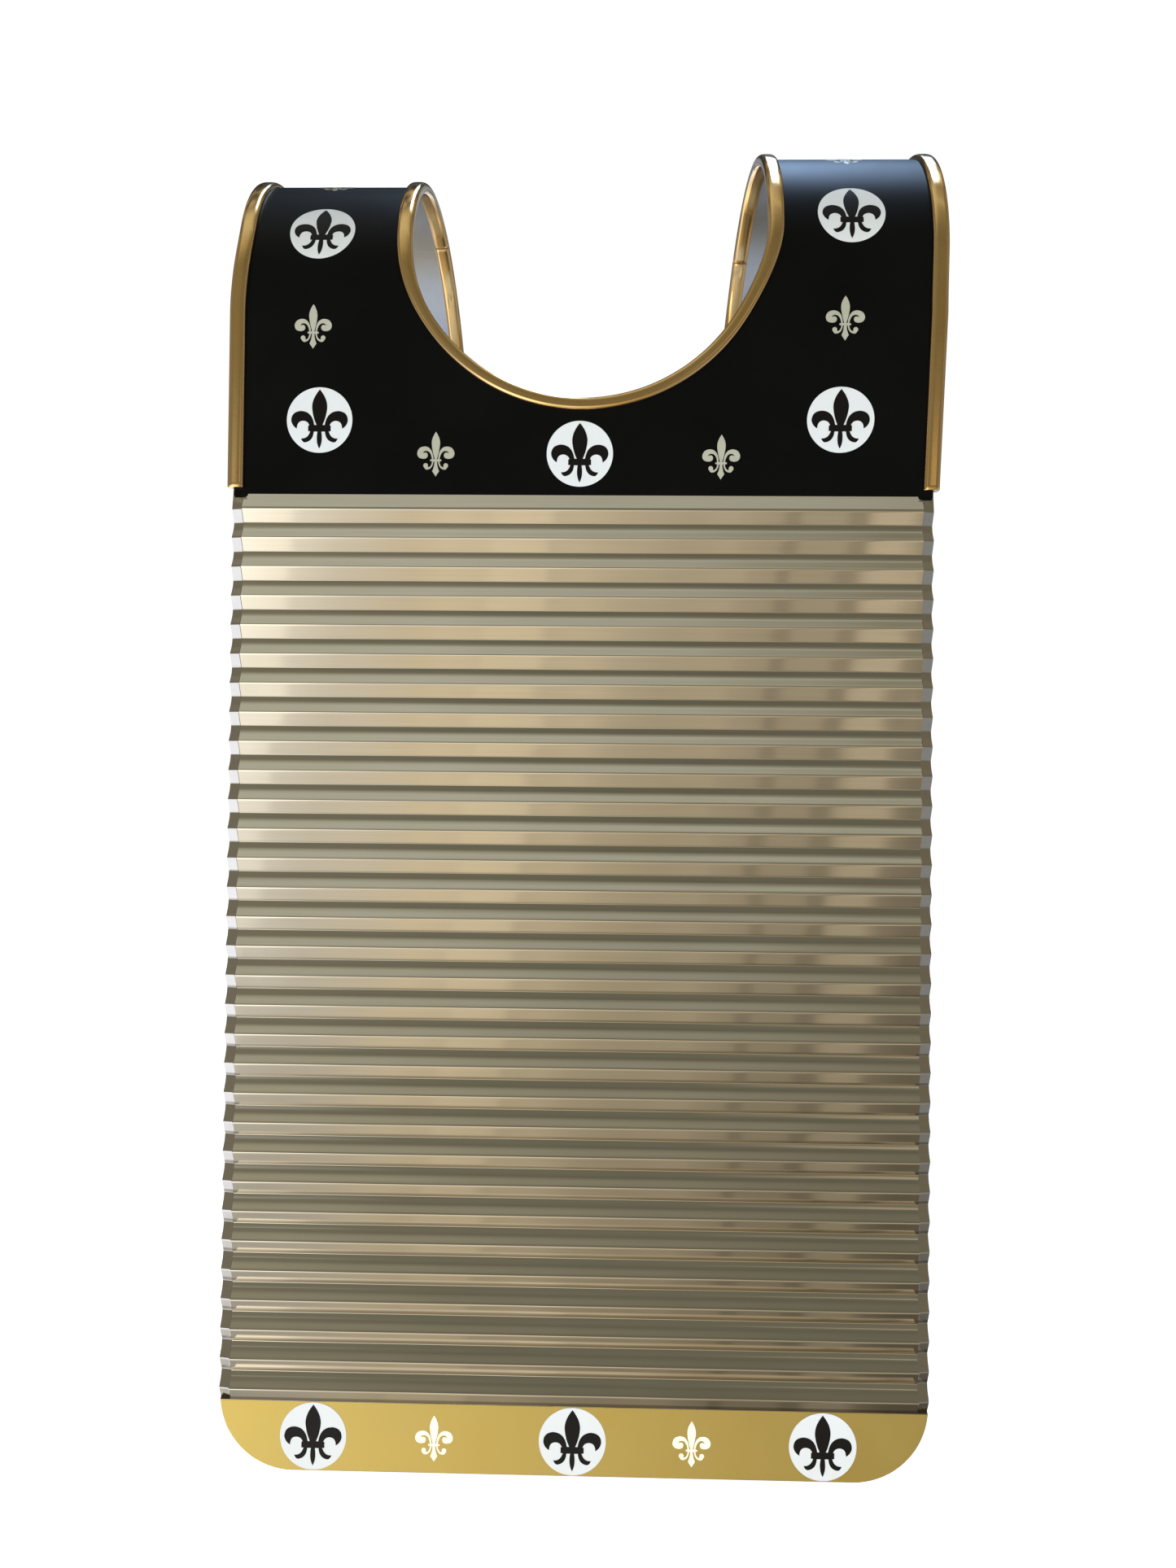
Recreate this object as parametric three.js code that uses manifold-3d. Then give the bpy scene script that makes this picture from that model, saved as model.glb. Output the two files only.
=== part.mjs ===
// A shoulder-worn rubboard: a ribbed steel front with a flat bib, two straps bent over the shoulders,
// coloured film on the flat areas, gold channel trim on the cut edges and vinyl fleur-de-lis decals.
// Millimetres. +Z is up, the ribbed front faces -Y and +X is to the right of a viewer who faces it.

import * as THREE from 'three';
import { mergeVertices } from 'three/addons/utils/BufferGeometryUtils.js';
import Module from 'manifold-3d';

const wasm = await Module();
wasm.setup();

// ---- driving dimensions ----

const SHEET = 0.8; // thickness of the steel
const HALF_WIDTH = 190.5; // half of the sheet's width

const RIBS = 31;
const RIB_PITCH = 15.875;
const RIB_DEPTH = 4.1; // from the valleys out to the crests
const RIB_UPPER_FACE = 8.7; // height of the slope that faces up; the one that faces down has the rest
const CREASE = 1.1; // height of the blunt strip at each crest and valley
const MARGIN = 6; // width of the side margins that are set back
const MARGIN_SET_BACK = 1.9;

const FOOT_HEIGHT = 37.1; // flat strip below the ribs
const FOOT_CORNER = 40; // radius of its two corners

const BIB_HEIGHT = 100; // from the top of the ribs to where the straps begin
const NECK_RADIUS = 100.5; // neck cut, a half circle
const NECK_CENTRE = 150.5; // its centre above the top of the ribs
const NECK_CLOSING_RADIUS = 2430; // above the half circle the inner edges close in on this radius

const BEND_RADIUS = 83; // straps over the shoulders, at the outer face
const BEND_START = { left: 117, right: 133 }; // above the top of the ribs
const BEND_FOLDS = 24; // flat facets that stand for the half turn
const REAR_LEG = 45; // straight length behind the back
const REAR_CORNER = 25; // radius of the strap's rear corners

const BIB_FLARE = 4.2; // how far the bib's right side has moved out where the straps begin
const LEAN_TOP = 150; // from the straps' beginning up to here they lean to the right
const INNER_LEAN = 3.1; // how far their inner edges have moved by then
const OUTER_LEAN = { left: 3.2, right: 4.9 }; // and their outer edges

const FILM_GAP = 0.2; // clearance under each applied layer
const FILM = 0.25; // thickness of each applied layer

const TRIM_OVER = 3.3; // trim beyond the sheet's edge
const TRIM_LIP = 6; // trim over the sheet's face
const NECK_LIP_SHARE = 0.66; // how much of that lip stays where the neck trim is bent round
const UPRIGHT_LIP_SHARE = 0.98; // and where the round part begins
const LIP_SQUEEZE_TURN = 0.6; // radians round the neck over which it narrows
const TRIM_HALF_DEPTH = 3.6; // front to back
const TRIM_EDGE_GAP = 0.5; // between the sheet's edge and the bottom of the trim's slot
const TRIM_END = 3; // the side trims end this far above the ribs
const TRIM_JOINT = { left: 287, right: 331 }; // where neck trim meets side trim, along the strap
const TRIM_JOINT_GAP = 0.3;

const DISC_RADIUS = 18;
const SMALL_FLEUR_HEIGHT = 24.5;

// Decal places: x, and the length along the sheet above the top of the ribs
const BIB_DISCS = [[-143.5, 40.5], [-1, 22.5], [139, 41.5]];
const BIB_SMALL_FLEURS = [[-79.5, 22], [75.5, 21]];
const FOOT_DISCS = { left: -139.5, middle: 0.5, right: 134.5 }; // along the middle of the foot strip
const FOOT_SMALL_FLEURS = { left: -74, right: 64.5 };
const STRAP_DECAL_X = { left: -147.7, right: 140.3 };
const STRAP_DECAL_DRIFT = { left: 0, right: 1.8 }; // how far each one stands to the right of the last
const STRAP_FIRST_DECAL = { left: 92, right: 97 };
const STRAP_DECAL_SPACING = { left: 56, right: 59.5 };
const STRAP_DECALS = 6; // small fleur, disc, small fleur, disc ... up and over

// ---- the surface of the bent sheet ----

// s runs up the bib and over the strap, n is the height above the sheet's outer face.

const bendLength = Math.PI * BEND_RADIUS;
const sideOf = (x) => (x < 0 ? 'left' : 'right');
const strapEnd = (side) => BEND_START[side] + bendLength + REAR_LEG;
const foldAt = (side, k) => BEND_START[side] + (bendLength * k) / BEND_FOLDS;
const foldLines = (side) => Array.from({ length: BEND_FOLDS + 1 }, (_, k) => foldAt(side, k));

// Half width of the neck opening at a length s above the top of the ribs
function neckHalfWidth(s) {
  const above = s - NECK_CENTRE;
  if (above <= -NECK_RADIUS) return 0;
  if (above < 0) return Math.sqrt(NECK_RADIUS ** 2 - above ** 2);
  return NECK_RADIUS - above ** 2 / (2 * NECK_CLOSING_RADIUS);
}

// How far the sheet's sideways lean moves a point at x and s
function leanAt(x, s) {
  const side = sideOf(x);
  const rise = THREE.MathUtils.smoothstep(s, BIB_HEIGHT, LEAN_TOP);
  const flare = side === 'right' ? (BIB_FLARE * Math.min(s, BIB_HEIGHT)) / BIB_HEIGHT : 0;
  const inner = neckHalfWidth(s);
  const across = (Math.abs(x) - inner) / (HALF_WIDTH - inner);
  return THREE.MathUtils.lerp(INNER_LEAN * rise, flare + (OUTER_LEAN[side] - flare) * rise, across);
}

function bendPoint(side, k, x, n) {
  const turn = (Math.PI * k) / BEND_FOLDS;
  const reach = BEND_RADIUS + n;
  return new THREE.Vector3(
    x,
    BEND_RADIUS - reach * Math.cos(turn),
    BEND_START[side] + reach * Math.sin(turn)
  );
}

function onSheet(x, s, n) {
  const side = sideOf(x);
  const along = s - BEND_START[side];
  const leaning = x + leanAt(x, s);
  if (along <= 0) return new THREE.Vector3(leaning, -n, s);
  if (along >= bendLength) {
    return new THREE.Vector3(leaning, 2 * BEND_RADIUS + n, BEND_START[side] + bendLength - along);
  }
  const place = (along / bendLength) * BEND_FOLDS;
  const k = Math.min(Math.floor(place), BEND_FOLDS - 1);
  return bendPoint(side, k, leaning, n).lerp(bendPoint(side, k + 1, leaning, n), place - k);
}

// ---- closed bodies from points ----

function bodyFromTriangles(triangles) {
  const geometry = new THREE.BufferGeometry().setFromPoints(triangles.flat());
  const merged = mergeVertices(geometry, 1e-4);
  merged.computeVertexNormals();
  return merged;
}

function quad(a, b, c, d) {
  return [[a, b, c], [a, c, d]];
}

// A skin through rings of points that match one to one, with both end rings closed
function loft(rings, capShape) {
  const count = capShape.length;
  const triangles = [];
  for (let i = 0; i + 1 < rings.length; i++) {
    for (let j = 0; j < count; j++) {
      const next = (j + 1) % count;
      triangles.push(...quad(rings[i][j], rings[i][next], rings[i + 1][next], rings[i + 1][j]));
    }
  }
  const last = rings[rings.length - 1];
  for (const [a, b, c] of THREE.ShapeUtils.triangulateShape(capShape, [])) {
    triangles.push([rings[0][c], rings[0][b], rings[0][a]], [last[a], last[b], last[c]]);
  }
  return bodyFromTriangles(triangles);
}

// Cuts one flat triangle along the line s = level
function cutTriangle(corners, level) {
  const above = corners.map((corner) => corner.y > level + 1e-6);
  const below = corners.map((corner) => corner.y < level - 1e-6);
  if (!above.includes(true) || !below.includes(true)) return [corners];
  const halves = [[], []];
  corners.forEach((corner, i) => {
    const next = corners[(i + 1) % 3];
    if (!below[i]) halves[0].push(corner);
    if (!above[i]) halves[1].push(corner);
    const crosses = (above[i] && below[(i + 1) % 3]) || (below[i] && above[(i + 1) % 3]);
    if (!crosses) return;
    const share = (level - corner.y) / (next.y - corner.y);
    const hit = new THREE.Vector2(corner.x + (next.x - corner.x) * share, level);
    halves[0].push(hit);
    halves[1].push(hit);
  });
  return halves.flatMap((points) => points.slice(2).map((p, i) => [points[0], points[i + 1], p]));
}

const cornerKey = (p) => `${p.x.toFixed(4)},${p.y.toFixed(4)}`;

// A thin layer that follows the sheet, from its flat outline in x and s
function layerOnSheet(outline, low, place = onSheet) {
  const side = sideOf(outline[0].x);
  let flat = THREE.ShapeUtils.triangulateShape(outline, []).map((t) => t.map((i) => outline[i]));
  for (const level of foldLines(side)) {
    flat = flat.flatMap((triangle) => cutTriangle(triangle, level));
  }
  const edges = new Map();
  for (const [a, b, c] of flat) {
    for (const [from, to] of [[a, b], [b, c], [c, a]]) {
      const back = `${cornerKey(to)}|${cornerKey(from)}`;
      if (!edges.delete(back)) edges.set(`${cornerKey(from)}|${cornerKey(to)}`, [from, to]);
    }
  }
  const bottom = (p) => place(p.x, p.y, low);
  const top = (p) => place(p.x, p.y, low + FILM);
  const triangles = flat.flatMap(([a, b, c]) => [
    [top(a), top(b), top(c)],
    [bottom(c), bottom(b), bottom(a)],
  ]);
  for (const [from, to] of edges.values()) {
    triangles.push(...quad(top(from), bottom(from), bottom(to), top(to)));
  }
  return bodyFromTriangles(triangles);
}

// ---- booleans ----

function toSolid(geometry) {
  const bare = geometry.clone();
  bare.deleteAttribute('normal');
  bare.deleteAttribute('uv');
  const merged = mergeVertices(bare, 1e-4);
  const vertProperties = new Float32Array(merged.attributes.position.array);
  const triVerts = new Uint32Array(merged.index.array);
  return new wasm.Manifold(new wasm.Mesh({ numProp: 3, vertProperties, triVerts }));
}

function toGeometry(solid) {
  const { vertProperties, triVerts } = solid.getMesh();
  const geometry = new THREE.BufferGeometry();
  geometry.setAttribute('position', new THREE.BufferAttribute(vertProperties, 3));
  geometry.setIndex(new THREE.BufferAttribute(triVerts, 1));
  geometry.computeVertexNormals();
  return geometry;
}

// An upright slab: an outline in x and z, thickened from y = near to y = far
function slab(shape, near, far, curveSegments = 12) {
  const geometry = new THREE.ExtrudeGeometry(shape, {
    depth: far - near,
    bevelEnabled: false,
    curveSegments,
  });
  return geometry.rotateX(Math.PI / 2).translate(0, far, 0);
}

// ---- the steel sheet ----

const ribsHeight = RIBS * RIB_PITCH;

// Outer face of the ribbed front from top to bottom: z, y and how far the side margins are set back
function ribProfile() {
  const lowerFace = RIB_PITCH - RIB_UPPER_FACE;
  const half = CREASE / 2;
  const profile = [{ z: 0, y: 0, back: 0 }];
  for (let rib = 0; rib < RIBS; rib++) {
    const top = -rib * RIB_PITCH;
    const crest = top - RIB_UPPER_FACE;
    const valley = crest - lowerFace;
    profile.push({ z: crest + half, y: -RIB_DEPTH, back: MARGIN_SET_BACK });
    profile.push({ z: crest - half, y: -RIB_DEPTH, back: MARGIN_SET_BACK });
    const isLast = rib === RIBS - 1;
    const back = isLast ? 0 : MARGIN_SET_BACK;
    profile.push({ z: isLast ? valley : valley + half, y: 0, back });
    if (!isLast) profile.push({ z: valley - half, y: 0, back });
  }
  profile.push({ z: -ribsHeight - FOOT_HEIGHT, y: 0, back: 0 });
  return profile;
}

function ribbedPanel() {
  const inner = HALF_WIDTH - MARGIN;
  const across = [-HALF_WIDTH, -inner, inner, HALF_WIDTH];
  const rings = ribProfile().map(({ z, y, back }) => {
    const depthAt = (x) => y + (Math.abs(x) > inner ? back : 0);
    const front = across.map((x) => new THREE.Vector3(x, depthAt(x), z));
    const rear = across.map((x) => new THREE.Vector3(x, depthAt(x) + SHEET, z));
    return [...front, ...rear.reverse()];
  });
  const cap = rings[0].map((p) => new THREE.Vector2(p.x, p.y));
  return toSolid(loft(rings.reverse(), cap)).intersect(toSolid(footRounding()));
}

// A slab with the board's two rounded lower corners, deeper than the ribs
function footRounding() {
  const reach = HALF_WIDTH + 1;
  const bottom = -ribsHeight - FOOT_HEIGHT;
  const shape = new THREE.Shape();
  shape.moveTo(-reach, 1);
  shape.lineTo(-reach, bottom + FOOT_CORNER);
  shape.lineTo(-HALF_WIDTH, bottom + FOOT_CORNER);
  const centre = HALF_WIDTH - FOOT_CORNER;
  shape.absarc(-centre, bottom + FOOT_CORNER, FOOT_CORNER, Math.PI, 1.5 * Math.PI);
  shape.absarc(centre, bottom + FOOT_CORNER, FOOT_CORNER, 1.5 * Math.PI, 2 * Math.PI);
  shape.lineTo(reach, bottom + FOOT_CORNER);
  shape.lineTo(reach, 1);
  const clearance = RIB_DEPTH + 1;
  return slab(shape, -clearance, clearance);
}

function bibShape(bottom, top) {
  const dip = (s) => Math.asin((NECK_CENTRE - s) / NECK_RADIUS);
  const shape = new THREE.Shape();
  shape.moveTo(-HALF_WIDTH, bottom);
  shape.lineTo(HALF_WIDTH, bottom);
  shape.lineTo(HALF_WIDTH + leanAt(HALF_WIDTH, top), top);
  shape.absarc(0, NECK_CENTRE, NECK_RADIUS, -dip(top), dip(top) - Math.PI, true);
  shape.lineTo(-HALF_WIDTH, top);
  shape.closePath();
  return shape;
}

// Both edges of one strap at the length s, as distances from the middle
function strapEdges(side, s) {
  const intoCorner = s - (strapEnd(side) - REAR_CORNER);
  if (intoCorner <= 0) return [neckHalfWidth(s), HALF_WIDTH];
  const rounding = REAR_CORNER - Math.sqrt(REAR_CORNER ** 2 - intoCorner ** 2);
  return [neckHalfWidth(s - intoCorner) + rounding, HALF_WIDTH - rounding];
}

// Lengths at which the straps and the trim on them have their rows, up to the rear leg
function rowLines(side) {
  const flat = BEND_START[side] - BIB_HEIGHT;
  const flatSteps = Math.ceil(flat / 6);
  const flatRows = Array.from({ length: flatSteps }, (_, i) => BIB_HEIGHT + (flat * i) / flatSteps);
  return [...flatRows, ...foldLines(side)];
}

function strapRows(side) {
  const end = strapEnd(side);
  const cornerTurns = [0, 15, 30, 45, 60, 75, 90].map((degrees) => THREE.MathUtils.degToRad(degrees));
  const cornerRows = cornerTurns.map((turn) => end - REAR_CORNER * (1 - Math.sin(turn)));
  return [...rowLines(side), ...cornerRows];
}

// A strap, or the film on it: a band through its rows, between two heights above the outer face
function strapBand(side, low, high) {
  const sign = side === 'left' ? -1 : 1;
  const rings = strapRows(side).map((s) => {
    const [inner, outer] = strapEdges(side, s);
    const [west, east] = sign < 0 ? [-outer, -inner] : [inner, outer];
    return [
      onSheet(west, s, high),
      onSheet(east, s, high),
      onSheet(east, s, low),
      onSheet(west, s, low),
    ];
  });
  const cap = [[0, 0], [1, 0], [1, 1], [0, 1]].map(([x, y]) => new THREE.Vector2(x, y));
  return loft(rings, cap);
}

// ---- films ----

function yokeFilm() {
  const low = FILM_GAP;
  const high = FILM_GAP + FILM;
  const bib = toSolid(slab(bibShape(0, BIB_HEIGHT), -high, -low));
  const straps = ['left', 'right'].map((side) => toSolid(strapBand(side, low, high)));
  return toGeometry(bib.add(straps[0]).add(straps[1]));
}

function footFilm() {
  const bottom = -ribsHeight - FOOT_HEIGHT;
  const rise = FOOT_CORNER - FOOT_HEIGHT;
  const centre = HALF_WIDTH - FOOT_CORNER;
  const start = Math.asin(rise / FOOT_CORNER);
  const shape = new THREE.Shape();
  shape.absarc(-centre, bottom + FOOT_CORNER, FOOT_CORNER, Math.PI + start, 1.5 * Math.PI);
  shape.absarc(centre, bottom + FOOT_CORNER, FOOT_CORNER, 1.5 * Math.PI, 2 * Math.PI - start);
  shape.closePath();
  return slab(shape, -FILM_GAP - FILM, -FILM_GAP);
}

// ---- channel trim ----

// Section of the trim: u is outward from the sheet's edge, n is above the sheet's outer face
function trimSection(lipShare) {
  const halfSlot = SHEET / 2 + FILM + 2 * FILM_GAP;
  const middle = -SHEET / 2;
  const centre = (TRIM_OVER - TRIM_LIP) / 2;
  const halfWidth = (TRIM_OVER + TRIM_LIP) / 2;
  const steps = 9;
  const tip = Math.PI - Math.asin(halfSlot / TRIM_HALF_DEPTH);
  const points = [];
  for (let i = 0; i <= steps; i++) {
    const turn = (2 * tip * i) / steps - tip;
    points.push([centre + halfWidth * Math.cos(turn), middle + TRIM_HALF_DEPTH * Math.sin(turn)]);
  }
  points.push([TRIM_EDGE_GAP, middle + halfSlot], [TRIM_EDGE_GAP, middle - halfSlot]);
  return points.map(([u, n]) => new THREE.Vector2(u < 0 ? u * lipShare : u, n));
}

// A stretch of edge: x, s and the direction out of the sheet, with the share of the lip that shows
const station = (x, s, outX, outS, lipShare = 1) => ({ x, s, outX, outS, lipShare });

// Paths are drawn for the right-hand side and turned over for the left
const onSide = (side, path) =>
  side === 'right' ? path : path.map((p) => ({ ...p, x: -p.x, outX: -p.outX }));

function innerEdgeStation(s) {
  const slope = (s - NECK_CENTRE) / NECK_CLOSING_RADIUS;
  const lipShare = s < NECK_CENTRE + 1 ? UPRIGHT_LIP_SHARE : 1;
  return station(neckHalfWidth(s), s, -Math.cos(slope), -Math.sin(slope), lipShare);
}

// Where the trim's rings stand along a strap, between two lengths
function ringsBetween(side, from, to) {
  const between = rowLines(side).filter((s) => s > from + 2 && s < to - 2);
  return [from, ...between, to];
}

function sideTrimPath(side) {
  const end = strapEnd(side);
  const cornerStart = end - REAR_CORNER;
  const outer = ringsBetween(side, TRIM_END, cornerStart).map((s) => station(HALF_WIDTH, s, 1, 0));
  const corner = (centreX, from) => [1, 2, 3, 4, 5].map((step) => {
    const turn = from + (step * Math.PI) / 12;
    const [outX, outS] = [Math.cos(turn), Math.sin(turn)];
    return station(centreX + REAR_CORNER * outX, cornerStart + REAR_CORNER * outS, outX, outS);
  });
  const innerX = neckHalfWidth(cornerStart);
  const rear = [HALF_WIDTH - REAR_CORNER, innerX + REAR_CORNER].map((x) => station(x, end, 0, 1));
  const inner = ringsBetween(side, TRIM_JOINT[side], cornerStart).reverse().map(innerEdgeStation);
  return onSide(side, [
    ...outer,
    ...corner(HALF_WIDTH - REAR_CORNER, 0),
    ...rear,
    ...corner(innerX + REAR_CORNER, Math.PI / 2),
    ...inner,
  ]);
}

function neckTrimPath() {
  const upright = (side) => {
    const rings = ringsBetween(side, NECK_CENTRE, TRIM_JOINT[side] - TRIM_JOINT_GAP);
    return onSide(side, rings.map(innerEdgeStation));
  };
  const rowTurns = (side) => {
    const rows = rowLines(side).filter((s) => s < NECK_CENTRE - 1);
    return rows.map((s) => Math.asin((NECK_CENTRE - s) / NECK_RADIUS)).reverse();
  };
  const left = rowTurns('left');
  const right = rowTurns('right').map((turn) => Math.PI - turn).reverse();
  const steps = 18;
  const flat = Array.from({ length: steps - 1 }, (_, i) =>
    THREE.MathUtils.lerp(left[left.length - 1], right[0], (i + 1) / steps)
  );
  const curve = [...left, ...flat, ...right].map((turn) => {
    const [outX, outS] = [Math.cos(turn), Math.sin(turn)];
    const squeeze = Math.min(1, Math.min(turn, Math.PI - turn) / LIP_SQUEEZE_TURN);
    const lipShare = THREE.MathUtils.lerp(UPRIGHT_LIP_SHARE, NECK_LIP_SHARE, squeeze);
    return station(-NECK_RADIUS * outX, NECK_CENTRE - NECK_RADIUS * outS, outX, outS, lipShare);
  });
  return [...upright('left').reverse(), ...curve, ...upright('right')];
}

function channelTrim(path) {
  const rings = path.map(({ x, s, outX, outS, lipShare }) =>
    trimSection(lipShare).map(({ x: u, y: n }) => onSheet(x + u * outX, s + u * outS, n))
  );
  const geometry = loft(rings, trimSection(1));
  return facingOut(geometry);
}

// Turns a closed body's faces outward when its path ran the other way round
function facingOut(geometry) {
  const { position } = geometry.attributes;
  const [a, b, c] = [new THREE.Vector3(), new THREE.Vector3(), new THREE.Vector3()];
  let volume = 0;
  for (let i = 0; i < geometry.index.count; i += 3) {
    a.fromBufferAttribute(position, geometry.index.getX(i));
    b.fromBufferAttribute(position, geometry.index.getX(i + 1));
    c.fromBufferAttribute(position, geometry.index.getX(i + 2));
    volume += a.dot(b.cross(c));
  }
  if (volume < 0) geometry.index.array.reverse();
  geometry.computeVertexNormals();
  return geometry;
}

// ---- decals ----

// Closes a half outline, drawn from the top tip down the right side, with its mirror image
function mirrored(half, scale) {
  const right = half.map((p) => new THREE.Vector2(p.x * scale, p.y * scale));
  const left = right.slice(1, -1).map((p) => new THREE.Vector2(-p.x, p.y));
  const outline = [...right, ...left.reverse()];
  return THREE.ShapeUtils.isClockWise(outline) ? outline.reverse() : outline;
}

// The fleur-de-lis inside a disc, in disc radii
function discFleurOutline() {
  const path = new THREE.Path();
  path.moveTo(0, 0.92);
  path.quadraticCurveTo(0.25, 0.62, 0.23, 0.34);
  path.quadraticCurveTo(0.2, 0.06, 0.09, -0.17);
  path.lineTo(0.16, -0.17);
  path.quadraticCurveTo(0.25, 0.27, 0.58, 0.27);
  path.quadraticCurveTo(0.86, 0.25, 0.87, -0.03);
  path.quadraticCurveTo(0.85, -0.2, 0.69, -0.28);
  path.quadraticCurveTo(0.69, -0.04, 0.51, -0.03);
  path.quadraticCurveTo(0.36, -0.05, 0.31, -0.19);
  path.lineTo(0.345, -0.19);
  path.lineTo(0.345, -0.36);
  path.lineTo(0.28, -0.36);
  path.quadraticCurveTo(0.36, -0.6, 0.57, -0.58);
  path.quadraticCurveTo(0.52, -0.7, 0.43, -0.7);
  path.quadraticCurveTo(0.2, -0.66, 0.18, -0.38);
  path.lineTo(0.06, -0.38);
  path.quadraticCurveTo(0.12, -0.7, 0, -0.89);
  return mirrored(path.getPoints(2), DISC_RADIUS);
}

// The small fleur-de-lis with curled petals, in heights, about its middle
function smallFleurOutline() {
  const path = new THREE.Path();
  path.moveTo(0, 0.5);
  path.quadraticCurveTo(0.105, 0.36, 0.098, 0.25);
  path.quadraticCurveTo(0.09, 0.1, 0.03, -0.113);
  path.lineTo(0.054, -0.113);
  path.quadraticCurveTo(0.08, 0.165, 0.243, 0.171);
  path.quadraticCurveTo(0.41, 0.165, 0.42, 0.02);
  path.quadraticCurveTo(0.4, -0.1, 0.28, -0.1);
  path.quadraticCurveTo(0.17, -0.06, 0.19, 0.01);
  path.lineTo(0.3, 0.014);
  path.quadraticCurveTo(0.27, 0.08, 0.215, 0.074);
  path.quadraticCurveTo(0.12, 0.06, 0.09, -0.115);
  path.lineTo(0.127, -0.138);
  path.lineTo(0.088, -0.163);
  path.quadraticCurveTo(0.1, -0.28, 0.17, -0.29);
  path.quadraticCurveTo(0.18, -0.21, 0.24, -0.2);
  path.quadraticCurveTo(0.31, -0.22, 0.27, -0.29);
  path.quadraticCurveTo(0.24, -0.347, 0.2, -0.347);
  path.quadraticCurveTo(0.075, -0.34, 0.054, -0.165);
  path.lineTo(0.029, -0.165);
  path.quadraticCurveTo(0.035, -0.3, 0.08, -0.379);
  path.lineTo(0, -0.5);
  return mirrored(path.getPoints(2), SMALL_FLEUR_HEIGHT);
}

function discOutline() {
  const sides = 24;
  return Array.from({ length: sides }, (_, i) => {
    const turn = (2 * Math.PI * i) / sides;
    return new THREE.Vector2(DISC_RADIUS * Math.cos(turn), DISC_RADIUS * Math.sin(turn));
  });
}

const layerHeight = (layer) => FILM_GAP + layer * (FILM_GAP + FILM);
const moved = (outline, [x, s]) => outline.map((p) => new THREE.Vector2(p.x + x, p.y + s));
const onFoot = (x, s, n) => new THREE.Vector3(x, -n, s);

function decal(outline, place, layer, surface = onSheet) {
  return layerOnSheet(moved(outline, place), layerHeight(layer), surface);
}

// ---- materials ----

const finish = (color, roughness, metalness) =>
  new THREE.MeshStandardMaterial({ color, roughness, metalness });

const steel = () => finish(0xb5a688, 0.32, 1);
const blackFilm = () => finish(0x0c0c0b, 0.45, 0);
const goldFilm = () => finish(0xc9a54b, 0.4, 0.6);
const goldTrim = () => finish(0xb08942, 0.15, 1);
const whiteVinyl = () => finish(0xe8f0f5, 0.4, 0);
const blackVinyl = () => finish(0x140f0c, 0.4, 0);
const champagneVinyl = () => finish(0xb4ad87, 0.35, 0.5);
const creamVinyl = () => finish(0xf0e4b9, 0.4, 0);

// ---- assembly ----

const board = new THREE.Group();

// The frame's origin is midway between the straps' inner crowns, where the shoulders carry them
const restHeight = (BEND_START.left + BEND_START.right) / 2 + BEND_RADIUS - SHEET;
board.position.set(0, -BEND_RADIUS, -restHeight);

function add(name, geometry, material) {
  const mesh = new THREE.Mesh(geometry, material);
  mesh.name = name;
  board.add(mesh);
}

function addDisc(name, place, surface) {
  add(`${name}_disc`, decal(discOutline(), place, 1, surface), whiteVinyl());
  add(`${name}_fleur`, decal(discFleurOutline(), place, 2, surface), blackVinyl());
}

function addSmallFleur(name, place, material, surface) {
  add(name, decal(smallFleurOutline(), place, 1, surface), material);
}

function addStrapDecals(side) {
  for (let i = 0; i < STRAP_DECALS; i++) {
    const x = STRAP_DECAL_X[side] + i * STRAP_DECAL_DRIFT[side];
    const place = [x, STRAP_FIRST_DECAL[side] + i * STRAP_DECAL_SPACING[side]];
    const name = `${side}_strap_${i + 1}`;
    if (i % 2 === 1) addDisc(name, place);
    else addSmallFleur(`${name}_small_fleur`, place, champagneVinyl());
  }
}

function addFootDecals() {
  const middle = -ribsHeight - FOOT_HEIGHT / 2;
  for (const [name, x] of Object.entries(FOOT_DISCS)) addDisc(`foot_${name}`, [x, middle], onFoot);
  for (const [name, x] of Object.entries(FOOT_SMALL_FLEURS)) {
    addSmallFleur(`foot_${name}_small_fleur`, [x, middle], creamVinyl(), onFoot);
  }
}

add('ribbed_panel', toGeometry(ribbedPanel()), steel());
add('bib_plate', slab(bibShape(0, BIB_HEIGHT), 0, SHEET), steel());
add('left_shoulder_strap', strapBand('left', -SHEET, 0), steel());
add('right_shoulder_strap', strapBand('right', -SHEET, 0), steel());
add('yoke_film', yokeFilm(), blackFilm());
add('foot_film', footFilm(), goldFilm());
add('neck_trim', channelTrim(neckTrimPath()), goldTrim());
add('left_side_trim', channelTrim(sideTrimPath('left')), goldTrim());
add('right_side_trim', channelTrim(sideTrimPath('right')), goldTrim());
['left', 'middle', 'right'].forEach((name, i) => addDisc(`bib_${name}`, BIB_DISCS[i]));
['left', 'right'].forEach((name, i) => {
  addSmallFleur(`bib_${name}_small_fleur`, BIB_SMALL_FLEURS[i], champagneVinyl());
});
addStrapDecals('left');
addStrapDecals('right');
addFootDecals();

export default board;
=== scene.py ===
# A shoulder-worn rubboard: one bent steel sheet with pressed ribs, film on its flat areas, channel trim
# on its cut edges and vinyl decals. Lengths are in millimetres on the board and in metres in the scene.

import math

import bmesh
import bpy
from mathutils import Matrix, Vector, noise


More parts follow.
